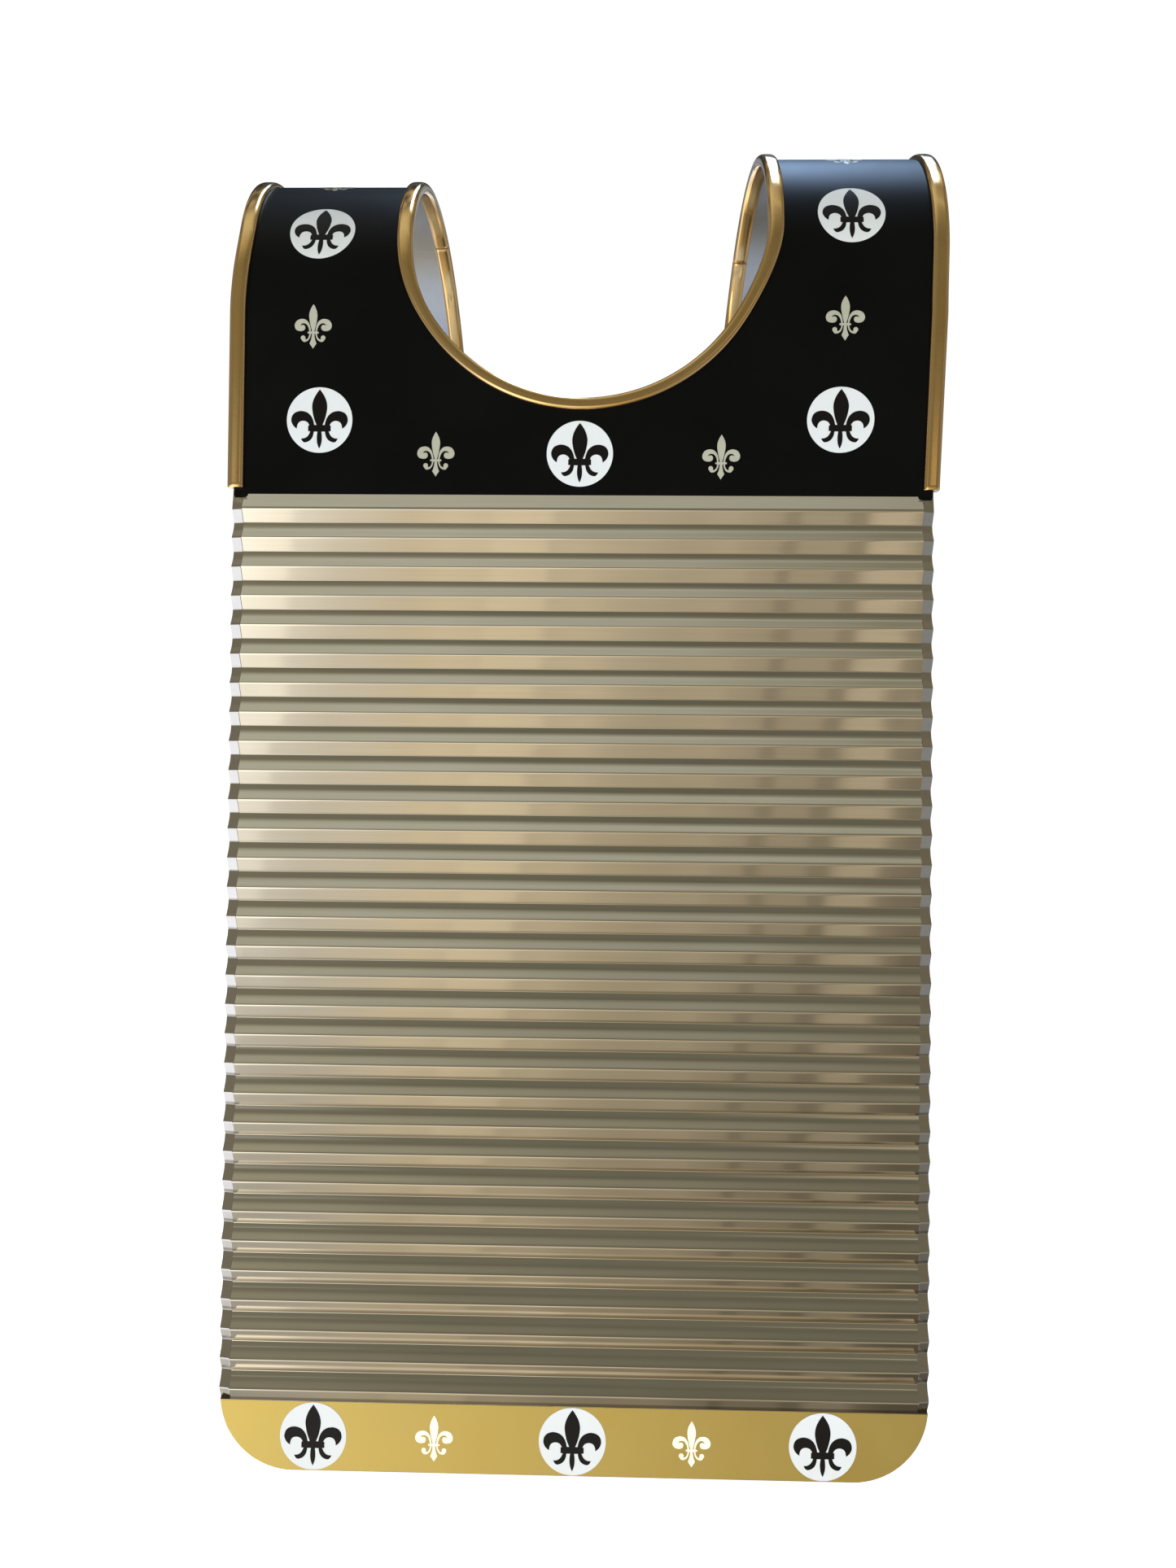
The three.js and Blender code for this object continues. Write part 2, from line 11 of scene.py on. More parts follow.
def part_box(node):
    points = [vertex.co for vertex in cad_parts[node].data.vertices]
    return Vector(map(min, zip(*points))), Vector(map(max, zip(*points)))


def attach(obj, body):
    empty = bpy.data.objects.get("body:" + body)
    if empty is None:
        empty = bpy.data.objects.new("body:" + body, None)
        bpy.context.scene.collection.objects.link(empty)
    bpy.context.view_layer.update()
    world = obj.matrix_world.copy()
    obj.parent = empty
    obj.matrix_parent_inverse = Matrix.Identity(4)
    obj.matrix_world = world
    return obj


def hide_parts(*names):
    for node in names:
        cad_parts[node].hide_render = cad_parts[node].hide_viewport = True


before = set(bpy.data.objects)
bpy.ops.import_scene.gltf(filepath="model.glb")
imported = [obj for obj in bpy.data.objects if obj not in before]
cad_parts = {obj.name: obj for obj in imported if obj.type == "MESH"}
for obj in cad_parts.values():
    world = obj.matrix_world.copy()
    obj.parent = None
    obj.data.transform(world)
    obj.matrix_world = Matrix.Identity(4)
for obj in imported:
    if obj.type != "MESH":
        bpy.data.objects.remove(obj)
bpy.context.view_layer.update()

MM = 0.001


def box_mm(node):
    """Lowest and highest corner of a CAD node in millimetres."""
    low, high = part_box(node)
    return low / MM, high / MM


# ---- sizes read from the CAD nodes ----

bib_low, bib_high = box_mm("bib_plate")
panel_low, panel_high = box_mm("ribbed_panel")
FACE = bib_low.y  # outer face of the sheet
TOP = panel_high.z  # top of the ribs
SHEET = bib_high.y - bib_low.y
HALF_WIDTH = panel_high.x
BIB_FLARE = bib_high.x - HALF_WIDTH  # how far the bib's right side moves out on its way up
BIB_HEIGHT = bib_high.z - TOP
RIB_DEPTH = FACE - panel_low.y
RIBS_BOTTOM = box_mm("foot_film")[1].z - TOP
BOTTOM = panel_low.z - TOP


def bend_of(side):
    """Radius, start and end of one strap's half turn, and the strap's end, as lengths above the ribs."""
    low, high = box_mm(f"{side}_shoulder_strap")
    radius = (high.y - low.y) / 2
    start = high.z - TOP - radius
    rear_leg = start - (low.z - TOP)
    turn_end = start + math.pi * radius
    return {"radius": radius, "start": start, "turn_end": turn_end, "end": turn_end + rear_leg}


BEND = {side: bend_of(side) for side in ("left", "right")}

# ---- sizes that the boxes don't give ----

RIBS = 31
PITCH = -RIBS_BOTTOM / RIBS
RIB_UPPER_SHARE = 8.7 / 15.875  # share of a rib's height that faces up
CREST_REACH = 0.9  # how far a crest's rounding reaches along each slope
VALLEY_REACH = 0.3  # the same for a valley
CREASE_LIMIT = 0.45  # a rounding takes at most this share of a stretch
CREASE_STEPS = 3
LONG_STRETCH = 3.0  # a stretch between creases that is longer than this has a flat middle
FLAT_START = 0.25  # its flat middle starts this far beyond a crease's rounding
SHORT_START = 0.1  # the short stretch below a valley is flat from here on
CREST_EASE = 0.04  # how far the crests stay inside the CAD crests
FOOT_CREASE_SHARE = 0.12  # where the last slope has an extra point, as a share of its flat stretch
# The slope that faces up, as shares of its height and of its depth. It is nearly upright near the valley.
UPPER_FACE = [
    (0.1, 0.05),
    (0.2, 0.105),
    (0.3, 0.165),
    (0.4, 0.245),
    (0.5, 0.355),
    (0.6, 0.485),
    (0.75, 0.695),
    (0.93, 0.947),
]
FIRST_UPPER_FACE = [(0.5, 0.5)]  # below the bib it is flat

MARGIN = 6.0  # width of the set-back side margins
MARGIN_SET_BACK = 1.9
MARGIN_STEP = 0.7  # width of the step down to the margin
MARGIN_RIM = 2.5  # width of its outermost faces
MARGIN_INNER_SHARE = 0.62  # share of the set-back at the step
MARGIN_SLANT = 0.6  # how much that share grows to the outer edge
MARGIN_FADE_TOP = 8.0  # heights over which the set-back starts and ends
MARGIN_FADE_FOOT = 0.7
FIELD_COLUMNS = 84
WAVE_WIDTH = 52.0  # the panel's slow waves, like those in hand-bent sheet metal
WAVE_HEIGHT_SHARE = 0.55
WAVE_DEPTH = 0.16
WAVE_FADE_TOP = 20.0
WAVE_FADE_SIDE = 15.0
TAB_REACH = 2.2  # how far the black film's corners run down past the bib
TAB_ROWS = 5
FOOT_CORNER = 40.0
FOOT_COLUMNS = 40

NECK_RADIUS = 100.5
NECK_CENTRE = 150.5
NECK_CLOSING_RADIUS = 2430.0
REAR_CORNER = 25.0

LEAN_TOP = 150.0  # the straps lean to the right from the bib's top up to here
INNER_LEAN = 3.1
OUTER_LEAN = {"left": 3.2, "right": 4.9}

YOKE_COLUMNS = 15
BIB_STEP = 8.0
STRAP_STEP = 2.9

# Heights above the steel
FILM_UNDERSIDE = 0.02
FILM_TOP = 0.16
STICKER_UNDERSIDE = 0.17
STICKER_TOP = 0.30
EMBLEM_UNDERSIDE = 0.31
EMBLEM_TOP = 0.42

# How far the films stay inside the sheet's edges
YOKE_FILM_INSET = 0.4
FOOT_FILM_INSET = 0.25

TRIM_OVER = 3.05  # how far the trim stands out past the sheet's edge
TRIM_LIP = 6.0  # how far its lips reach over the sheet
NECK_LIP_SHARE = 0.66  # the lips are narrower round the neck cut
UPRIGHT_LIP_SHARE = 0.98
LIP_SQUEEZE_TURN = 0.6  # they narrow over this much of the turn, in radians
TRIM_HALF_DEPTH = 3.48
TRIM_ROUNDING = 0.62  # 1 would make the trim's section an ellipse, and less makes its faces flatter
TRIM_SECTION_STEPS = 40
TRIM_EDGE_GAP = 0.5  # gap between the sheet's edge and the channel's floor
TRIM_SLOT_PLAY = 0.45  # gap between the sheet's face and the channel's lip
TRIM_STEP = 2.5
TRIM_END = 3.0
TRIM_END_BEVEL = 0.3
TRIM_BEVEL_SHARE = 0.16  # share of a step that an end's bevel takes
TRIM_JOINT = {"left": 287.0, "right": 331.0}
TRIM_JOINT_GAP = 0.35

DISC_RADIUS = 18.0
SMALL_FLEUR_HEIGHT = 24.5
STICKER_STEP = 2.0  # a sticker is cut across this often, so that it can bend

# ---- the bent sheet ----


def side_of(x):
    return "left" if x < 0 else "right"


def neck_half_width(s):
    """Distance from the middle to the neck cut or to a strap's inner edge."""
    above = s - NECK_CENTRE
    if above < 0:
        return math.sqrt(max(0.0, NECK_RADIUS**2 - above**2))
    return NECK_RADIUS - above**2 / (2 * NECK_CLOSING_RADIUS)


def lean_at(x, s):
    """How far the sheet's sideways lean moves a point at x and s."""
    side = side_of(x)
    t = min(1.0, max(0.0, (s - BIB_HEIGHT) / (LEAN_TOP - BIB_HEIGHT)))
    rise = t * t * (3 - 2 * t)
    flare = BIB_FLARE * min(max(s, 0.0), BIB_HEIGHT) / BIB_HEIGHT if side == "right" else 0.0
    inner = neck_half_width(s)
    across = (abs(x) - inner) / (HALF_WIDTH - inner)
    at_inner = INNER_LEAN * rise
    at_outer = flare + (OUTER_LEAN[side] - flare) * rise
    return at_inner + (at_outer - at_inner) * across


def on_sheet(x, s, n):
    """The point at x, a length s up the sheet from the top of the ribs and n above its outer face."""
    bend = BEND[side_of(x)]
    x = x + lean_at(x, s)
    if s <= bend["start"]:
        y, z = -n, s
    elif s >= bend["turn_end"]:
        y, z = 2 * bend["radius"] + n, bend["start"] + bend["turn_end"] - s
    else:
        turn = (s - bend["start"]) / bend["radius"]
        reach = bend["radius"] + n
        y, z = bend["radius"] - reach * math.cos(turn), bend["start"] + reach * math.sin(turn)
    return Vector((x, y, z))


def along_sheet(point):
    """The length s of a point on or near the outer face."""
    bend = BEND[side_of(point.x)]
    y, z = point.y, point.z
    if z <= bend["start"]:
        return z if y < bend["radius"] else bend["start"] + bend["turn_end"] - z
    return bend["start"] + bend["radius"] * math.atan2(z - bend["start"], bend["radius"] - y)


def decal_place(node):
    """Middle of a CAD decal as x and s."""
    points = [v.co / MM - Vector((0, FACE, TOP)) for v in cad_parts[node].data.vertices]
    lengths = [along_sheet(p) for p in points]
    across = [p.x for p in points]
    leaning = (min(across) + max(across)) / 2
    s = (min(lengths) + max(lengths)) / 2
    x = leaning
    for _ in range(4):  # the lean depends a little on x, so x is found in rounds
        x = leaning - lean_at(x, s)
    return x, s


# ---- meshes ----


def add_piece(name, points, faces, material, replaces, sharp=35, attribute=None):
    """A smooth-shaded mesh from points in board millimetres, which rides on the board's body."""
    mesh = bpy.data.meshes.new(name)
    mesh.from_pydata([(p + Vector((0, FACE, TOP))) * MM for p in points], [], faces)
    if attribute:
        values = mesh.attributes.new(attribute[0], "FLOAT", "POINT")
        values.data.foreach_set("value", attribute[1])
    tidy = bmesh.new()
    tidy.from_mesh(mesh)
    bmesh.ops.remove_doubles(tidy, verts=tidy.verts, dist=1e-7)
    bmesh.ops.dissolve_degenerate(tidy, edges=tidy.edges, dist=1e-7)
    bmesh.ops.recalc_face_normals(tidy, faces=tidy.faces)
    tidy.to_mesh(mesh)
    tidy.free()
    mesh.polygons.foreach_set("use_smooth", [True] * len(mesh.polygons))
    mesh.set_sharp_from_angle(angle=math.radians(sharp))
    mesh.materials.append(material)
    piece = bpy.data.objects.new(name, mesh)
    bpy.context.scene.collection.objects.link(piece)
    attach(piece, "root")
    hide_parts(*replaces)


def grid_faces(rows, columns, first=0, flip=False):
    faces = []
    for i in range(rows - 1):
        for j in range(columns - 1):
            a = first + i * columns + j
            face = (a, a + 1, a + columns + 1, a + columns)
            faces.append(face[::-1] if flip else face)
    return faces


def sheet_body(outer, inner):
    """Closes two matching grids of points into one thin body."""
    rows, columns = len(outer), len(outer[0])
    points = [p for row in outer for p in row] + [p for row in inner for p in row]
    back = rows * columns
    faces = grid_faces(rows, columns) + grid_faces(rows, columns, back, flip=True)
    rim = [(0, j) for j in range(columns)]
    rim += [(i, columns - 1) for i in range(1, rows)]
    rim += [(rows - 1, j) for j in range(columns - 2, -1, -1)]
    rim += [(i, 0) for i in range(rows - 2, 0, -1)]
    order = [i * columns + j for i, j in rim]
    for k, a in enumerate(order):
        b = order[(k + 1) % len(order)]
        faces.append((b, a, a + back, b + back))
    return points, faces


def sweep(rings):
    """A skin through matching rings of points, closed at both ends."""
    count = len(rings[0])
    points = [p for ring in rings for p in ring]
    faces = []
    for i in range(len(rings) - 1):
        for j in range(count):
            k = (j + 1) % count
            faces.append((i * count + j, i * count + k, (i + 1) * count + k, (i + 1) * count + j))
    last = (len(rings) - 1) * count
    faces.append(tuple(range(count))[::-1])
    faces.append(tuple(range(last, last + count)))
    return points, faces


def joined(points, faces, more_points, more_faces):
    """Two bodies as one list of points and one of faces."""
    first = len(points)
    return points + more_points, faces + [tuple(first + i for i in face) for face in more_faces]


def lifted(rows, height):
    """Rows of points on the flat front, moved out from the board."""
    return [[p + Vector((0, -height, 0)) for p in row] for row in rows]


# ---- the ribbed front ----


def rounded(corners):
    """A polyline with each inner corner replaced by a short curve, which stays flat between the corners."""
    points = [corners[0]]
    for before, corner, after in zip(corners, corners[1:], corners[2:]):
        back, ahead = before - corner, after - corner
        reach = VALLEY_REACH if corner.x == 0 else CREST_REACH
        start = corner + back.normalized() * min(reach, CREASE_LIMIT * back.length)
        end = corner + ahead.normalized() * min(reach, CREASE_LIMIT * ahead.length)
        if back.length > LONG_STRETCH:
            points.append(start + back.normalized() * FLAT_START)
        for i in range(CREASE_STEPS + 1):
            t = i / CREASE_STEPS
            points.append(start * (1 - t) ** 2 + corner * 2 * t * (1 - t) + end * t**2)
        if ahead.length > LONG_STRETCH:
            points.append(end + ahead.normalized() * FLAT_START)
        elif corner.x == 0:
            points.append(end + ahead.normalized() * SHORT_START)
    return points + [corners[-1]]


def rib_profile():
    """The ribbed front's outer face from top to bottom, as depth and height."""
    upper = RIB_UPPER_SHARE * PITCH
    crest_depth = -(RIB_DEPTH - CREST_EASE)
    corners = [Vector((0, 0))]
    for rib in range(RIBS):
        for height, depth in UPPER_FACE if rib else FIRST_UPPER_FACE:
            corners.append(Vector((crest_depth * depth, -rib * PITCH - upper * height)))
        corners.append(Vector((crest_depth, -rib * PITCH - upper)))
        corners.append(Vector((0, -(rib + 1) * PITCH)))
    profile = rounded(corners)
    profile.insert(-1, profile[-1].lerp(profile[-2], FOOT_CREASE_SHARE))
    return [(p.x, p.y) for p in profile]


def front_depth(x, y, z):
    """Depth of the ribbed front at x, where its profile has depth y at height z. The margins are set back."""
    outward = (abs(x) - HALF_WIDTH + MARGIN - 0.01) / MARGIN
    if outward < 0:
        return y
    fade = min(1.0, -z / MARGIN_FADE_TOP, (z - RIBS_BOTTOM) / MARGIN_FADE_FOOT)
    return y + MARGIN_SET_BACK * (MARGIN_INNER_SHARE + MARGIN_SLANT * outward) * max(0.0, fade)


def foot_half_width(z):
    """Half the panel's width at a height, narrower between the foot's rounded corners."""
    into = BOTTOM + FOOT_CORNER - z
    if into <= 0:
        return HALF_WIDTH
    return HALF_WIDTH - FOOT_CORNER + math.sqrt(max(0.0, FOOT_CORNER**2 - into**2))


def foot_rows(top):
    """Heights down the foot strip, closer together round its corners."""
    turns = [math.radians(5 * i) for i in range(1, 19)]
    heights = [BOTTOM + FOOT_CORNER - FOOT_CORNER * math.sin(turn) for turn in turns]
    return [z for z in heights if z < top - 0.3]


def front_columns():
    """Places across the panel, from its left edge to its right edge."""
    inner = HALF_WIDTH - MARGIN
    field = [-inner + 2 * inner * i / FIELD_COLUMNS for i in range(FIELD_COLUMNS + 1)]
    margin = [HALF_WIDTH, HALF_WIDTH - MARGIN_RIM, inner + MARGIN_STEP]
    return [-x for x in margin] + field + margin[::-1]


def waviness(x, z):
    """Depth of the panel's slow waves, which fade out at its edges and stop at the foot strip."""
    if z < RIBS_BOTTOM:
        return 0
    share = min(1.0, max(0.0, -z / WAVE_FADE_TOP), max(0.0, (HALF_WIDTH - abs(x)) / WAVE_FADE_SIDE))
    wave = noise.noise(Vector((x / WAVE_WIDTH, z / (WAVE_WIDTH * WAVE_HEIGHT_SHARE), 3.1)))
    return share * (WAVE_DEPTH * wave)


def steel_front(material):
    profile = rib_profile() + [(0.0, z) for z in foot_rows(RIBS_BOTTOM)]
    outer = []
    for y, z in profile:
        share = foot_half_width(z) / HALF_WIDTH
        row = []
        for x in front_columns():
            row.append(Vector((x * share, front_depth(x, y, z) + waviness(x, z), z)))
        outer.append(row)
    points, faces = sheet_body(outer, lifted(outer, -SHEET))
    add_piece("steel_front", points, faces, material, ["ribbed_panel"], sharp=24)


# ---- the bib and straps ----


def strap_edges(side, s):
    """Distances of a strap's inner and outer edge from the middle."""
    into_corner = s - (BEND[side]["end"] - REAR_CORNER)
    if into_corner <= 0:
        return neck_half_width(s), HALF_WIDTH
    rounding = REAR_CORNER - math.sqrt(max(0.0, REAR_CORNER**2 - into_corner**2))
    return neck_half_width(s - into_corner) + rounding, HALF_WIDTH - rounding


def between(start, end, step):
    """Even steps from start up to end, without end itself."""
    count = max(1, math.ceil((end - start) / step))
    return [start + (end - start) * i / count for i in range(count)]


def yoke_rows(side):
    """Lengths s up the bib and over one strap."""
    corner = BEND[side]["end"] - REAR_CORNER
    below_neck = between(0, NECK_CENTRE - NECK_RADIUS, BIB_STEP)
    round_neck = [NECK_CENTRE - NECK_RADIUS * math.cos(math.radians(3 * i)) for i in range(30)]
    over_shoulder = between(NECK_CENTRE, corner, STRAP_STEP)
    round_corner = [corner + REAR_CORNER * math.sin(math.radians(10 * i)) for i in range(10)]
    return below_neck + round_neck + over_shoulder + round_corner


def yoke_half(side, n, inset):
    """A grid of points on one half of the bib and its strap, from the middle to the outer edge."""
    sign = -1 if side == "left" else 1
    grid = []
    for s in yoke_rows(side):
        inner, outer = strap_edges(side, s)
        if s <= NECK_CENTRE - NECK_RADIUS:
            inner = 0
        else:
            inner += inset
        row = []
        for j in range(YOKE_COLUMNS + 1):
            x = sign * (inner + (outer - inset - inner) * j / YOKE_COLUMNS)
            if x == 0:
                x = sign * 1e-9  # so that the middle has a side
            row.append(on_sheet(x, s, n))
        grid.append(row if sign > 0 else row[::-1])
    return grid


def yoke_layer(low, high, inset):
    """Both halves of the yoke as one thin body between two heights above the outer face."""
    points, faces = [], []
    for side in ("left", "right"):
        half = sheet_body(yoke_half(side, high, inset), yoke_half(side, low, inset))
        points, faces = joined(points, faces, *half)
    # The wall between the halves, which stands in the middle of the bib, is left out
    return points, [f for f in faces if not all(abs(points[i].x) < 1e-6 for i in f)]


def steel_yoke(material):
    points, faces = yoke_layer(-SHEET, 0, 0)
    replaced = ["bib_plate", "left_shoulder_strap", "right_shoulder_strap"]
    add_piece("steel_yoke", points, faces, material, replaced)


# ---- films ----


def margin_tab(side):
    """The black film's corner that runs down over the top of the set-back margin."""
    sign = -1 if side == "left" else 1
    inner = HALF_WIDTH - MARGIN
    rows = []
    for i in range(TAB_ROWS + 1):
        share = i / TAB_ROWS
        z = -TAB_REACH * share
        depth = z * RIB_DEPTH / (PITCH * RIB_UPPER_SHARE)
        start = inner - 0.05 - TAB_REACH * math.sqrt(1 - share**2)
        end = HALF_WIDTH - 0.3 - 0.15 * i
        across = [start, inner - 0.02, inner + MARGIN_STEP, HALF_WIDTH - MARGIN_RIM, end]
        row = [Vector((sign * x, front_depth(x, depth, z), z)) for x in across]
        rows.append(row if sign > 0 else row[::-1])
    return rows


def film_on(rows):
    """A film's body on rows of points of the flat front."""
    return sheet_body(lifted(rows, FILM_TOP), lifted(rows, FILM_UNDERSIDE))


def yoke_wrap(material):
    points, faces = yoke_layer(FILM_UNDERSIDE, FILM_TOP, YOKE_FILM_INSET)
    for side in ("left", "right"):
        points, faces = joined(points, faces, *film_on(margin_tab(side)))
    add_piece("yoke_wrap", points, faces, material, ["yoke_film"])


def foot_wrap(material):
    rows = []
    for z in [RIBS_BOTTOM - 0.2, *foot_rows(RIBS_BOTTOM - 0.3)[:-1], BOTTOM + FOOT_FILM_INSET]:
        reach = foot_half_width(z) - FOOT_FILM_INSET
        rows.append([Vector((reach * (2 * i / FOOT_COLUMNS - 1), 0, z)) for i in range(FOOT_COLUMNS + 1)])
    points, faces = film_on(rows)
    add_piece("foot_wrap", points, faces, material, ["foot_film"])


# ---- channel trim ----


def trim_section(lip_share, shrink=0.0):
    """The trim's section: a rounded nose outside the edge and two lips with curled-in tips."""
    middle = -SHEET / 2
    centre = (TRIM_OVER - TRIM_LIP) / 2
    half_width = (TRIM_OVER + TRIM_LIP) / 2 - shrink
    half_depth = TRIM_HALF_DEPTH - shrink
    slot = SHEET / 2 + TRIM_SLOT_PLAY
    tip = math.pi - math.asin((slot / half_depth) ** (1 / TRIM_ROUNDING))
    points = []
    for i in range(TRIM_SECTION_STEPS + 1):
        turn = tip * (2 * i / TRIM_SECTION_STEPS - 1)
        along = math.copysign(abs(math.cos(turn)) ** TRIM_ROUNDING, math.cos(turn))
        across = math.copysign(abs(math.sin(turn)) ** TRIM_ROUNDING, math.sin(turn))
        points.append((centre + half_width * along, middle + half_depth * across))
    points += [(TRIM_EDGE_GAP, middle + slot), (TRIM_EDGE_GAP, middle - slot)]
    return [(u * lip_share if u < 0 else u, n) for u, n in points]


def station(x, s, out_x, out_s, lip_share=1.0):
    """A point of a cut edge, the direction away from the sheet there and the trim's lip width."""
    return {"x": x, "s": s, "out_x": out_x, "out_s": out_s, "lip_share": lip_share}


def mirrored_path(path):
    return [{**p, "x": -p["x"], "out_x": -p["out_x"]} for p in path]


def inner_edge(s):
    """The station on the right strap's inner edge at a length s."""
    slope = (s - NECK_CENTRE) / NECK_CLOSING_RADIUS
    grow = min(1.0, max(0.0, (s - NECK_CENTRE) / 20))
    share = UPRIGHT_LIP_SHARE + (1 - UPRIGHT_LIP_SHARE) * grow
    return station(neck_half_width(s), s, -math.cos(slope), -math.sin(slope), share)


def rear_corner_path(centre_x, centre_s, first):
    """Stations round a quarter turn at a strap's rear end."""
    path = []
    for step in range(13):
        turn = first + step * math.pi / 24
        out_x, out_s = math.cos(turn), math.sin(turn)
        path.append(station(centre_x + REAR_CORNER * out_x, centre_s + REAR_CORNER * out_s, out_x, out_s))
    return path


def side_trim_path(side):
    """Up the outer edge, round the strap's rear end and along its inner edge to the joint."""
    end = BEND[side]["end"]
    corner_start = end - REAR_CORNER
    outer_x = HALF_WIDTH - REAR_CORNER
    inner_x = neck_half_width(corner_start) + REAR_CORNER
    path = [station(HALF_WIDTH, s, 1, 0) for s in between(TRIM_END, corner_start, TRIM_STEP)]
    path += rear_corner_path(outer_x, corner_start, 0)
    path += [station(-x, end, 0, 1) for x in between(-outer_x, -inner_x, 3)[1:]]
    path += rear_corner_path(inner_x, corner_start, math.pi / 2)
    path += [inner_edge(-s) for s in between(-corner_start, -TRIM_JOINT[side], TRIM_STEP)[1:]]
    path.append(inner_edge(TRIM_JOINT[side]))
    return path if side == "right" else mirrored_path(path)


def neck_upright_path(side):
    top = TRIM_JOINT[side] - TRIM_JOINT_GAP
    path = [inner_edge(s) for s in between(NECK_CENTRE, top, TRIM_STEP) + [top]]
    return path if side == "right" else mirrored_path(path)


def neck_trim_path():
    """Down the left strap's inner edge, round the neck cut and up the right strap's inner edge."""
    curve = []
    steps = 96
    for i in range(1, steps):
        turn = math.pi * i / steps
        squeeze = min(1.0, min(turn, math.pi - turn) / LIP_SQUEEZE_TURN)
        squeeze = squeeze * squeeze * (3 - 2 * squeeze)
        share = UPRIGHT_LIP_SHARE + (NECK_LIP_SHARE - UPRIGHT_LIP_SHARE) * squeeze
        out_x, out_s = math.cos(turn), math.sin(turn)
        curve.append(station(-NECK_RADIUS * out_x, NECK_CENTRE - NECK_RADIUS * out_s, out_x, out_s, share))
    return neck_upright_path("left")[::-1] + curve + neck_upright_path("right")


def trim_ring(place, shrink=0.0):
    """The trim's section at a station of its path."""
    ring = []
    for u, n in trim_section(place["lip_share"], shrink):
        ring.append(on_sheet(place["x"] + u * place["out_x"], place["s"] + u * place["out_s"], n))
    return ring


def beside_end(end, neighbour):
    """The station where an end's bevel starts."""
    share = TRIM_BEVEL_SHARE
    moved = {key: end[key] * (1 - share) + neighbour[key] * share for key in ("x", "s")}
    return {**end, **moved}


def channel_trim(name, path, material, replaced):
    rings = [trim_ring(path[0], TRIM_END_BEVEL), trim_ring(beside_end(path[0], path[1]))]
    rings += [trim_ring(place) for place in path[1:-1]]
    rings += [trim_ring(beside_end(path[-1], path[-2])), trim_ring(path[-1], TRIM_END_BEVEL)]
    points, faces = sweep(rings)
    add_piece(name, points, faces, material, [replaced], sharp=40)


# ---- decals ----


def curve_to(points, control, end, steps=7):
    """Adds a quadratic curve from the last point."""
    start, control, end = Vector(points[-1]), Vector(control), Vector(end)
    for i in range(1, steps + 1):
        t = i / steps
        points.append(tuple(start * (1 - t) ** 2 + control * 2 * t * (1 - t) + end * t**2))


def bulb(points, centre, radius, first, last, steps=10):
    """Adds an arc about a centre, between two directions in degrees."""
    for i in range(steps + 1):
        turn = math.radians(first + (last - first) * i / steps)
        points.append((centre[0] + radius * math.cos(turn), centre[1] + radius * math.sin(turn)))


def both_halves(half):
    return half + [(-x, y) for x, y in half[-2:0:-1]]


def disc_fleur():
    """Outline of the fleur-de-lis in a disc, in disc radii."""
    half = [(0, 0.92)]
    curve_to(half, (0.25, 0.62), (0.23, 0.34))
    curve_to(half, (0.2, 0.06), (0.09, -0.17))
    half.append((0.16, -0.17))
    curve_to(half, (0.22, 0.25), (0.57, 0.26))
    curve_to(half, (0.86, 0.24), (0.865, -0.03))
    curve_to(half, (0.84, -0.2), (0.69, -0.28))
    curve_to(half, (0.69, -0.05), (0.5, -0.04))
    curve_to(half, (0.35, -0.05), (0.31, -0.185))
    half += [(0.345, -0.19), (0.345, -0.36), (0.28, -0.36)]
    curve_to(half, (0.35, -0.6), (0.56, -0.58))
    curve_to(half, (0.52, -0.7), (0.43, -0.7))
    curve_to(half, (0.19, -0.66), (0.17, -0.37))
    half.append((0.06, -0.37))
    curve_to(half, (0.115, -0.7), (0, -0.89))
    return both_halves(half)


def small_fleur():
    """Outline of the small fleur-de-lis with rolled petals, in heights."""
    half = [(0, 0.5)]
    curve_to(half, (0.095, 0.37), (0.098, 0.25))
    curve_to(half, (0.095, 0.12), (0.024, -0.113))
    half.append((0.054, -0.113))
    curve_to(half, (0.075, 0.165), (0.257, 0.171))
    curve_to(half, (0.42, 0.165), (0.439, 0.02))
    curve_to(half, (0.435, -0.1), (0.293, -0.104))
    curve_to(half, (0.2, -0.1), (0.189, -0.036))
    curve_to(half, (0.19, 0.033), (0.243, 0.035))
    curve_to(half, (0.28, 0.036), (0.311, 0.014))
    curve_to(half, (0.285, 0.078), (0.221, 0.074))
    curve_to(half, (0.115, 0.065), (0.09, -0.115))
    bulb(half, (0.112, -0.138), 0.022, 110, -110, 7)
    half.append((0.088, -0.163))
    curve_to(half, (0.1, -0.285), (0.176, -0.294))
    bulb(half, (0.236, -0.257), 0.055, 205, -60, 12)
    curve_to(half, (0.25, -0.345), (0.205, -0.347))
    curve_to(half, (0.075, -0.34), (0.054, -0.165))
    half.append((0.029, -0.165))
    curve_to(half, (0.035, -0.3), (0.083, -0.379))
    half.append((0, -0.5))
    return both_halves([(0.95 * x, y) for x, y in half])


def disc_outline():
    turns = [math.radians(5 * i) for i in range(72)]
    return [(math.cos(turn), math.sin(turn)) for turn in turns]


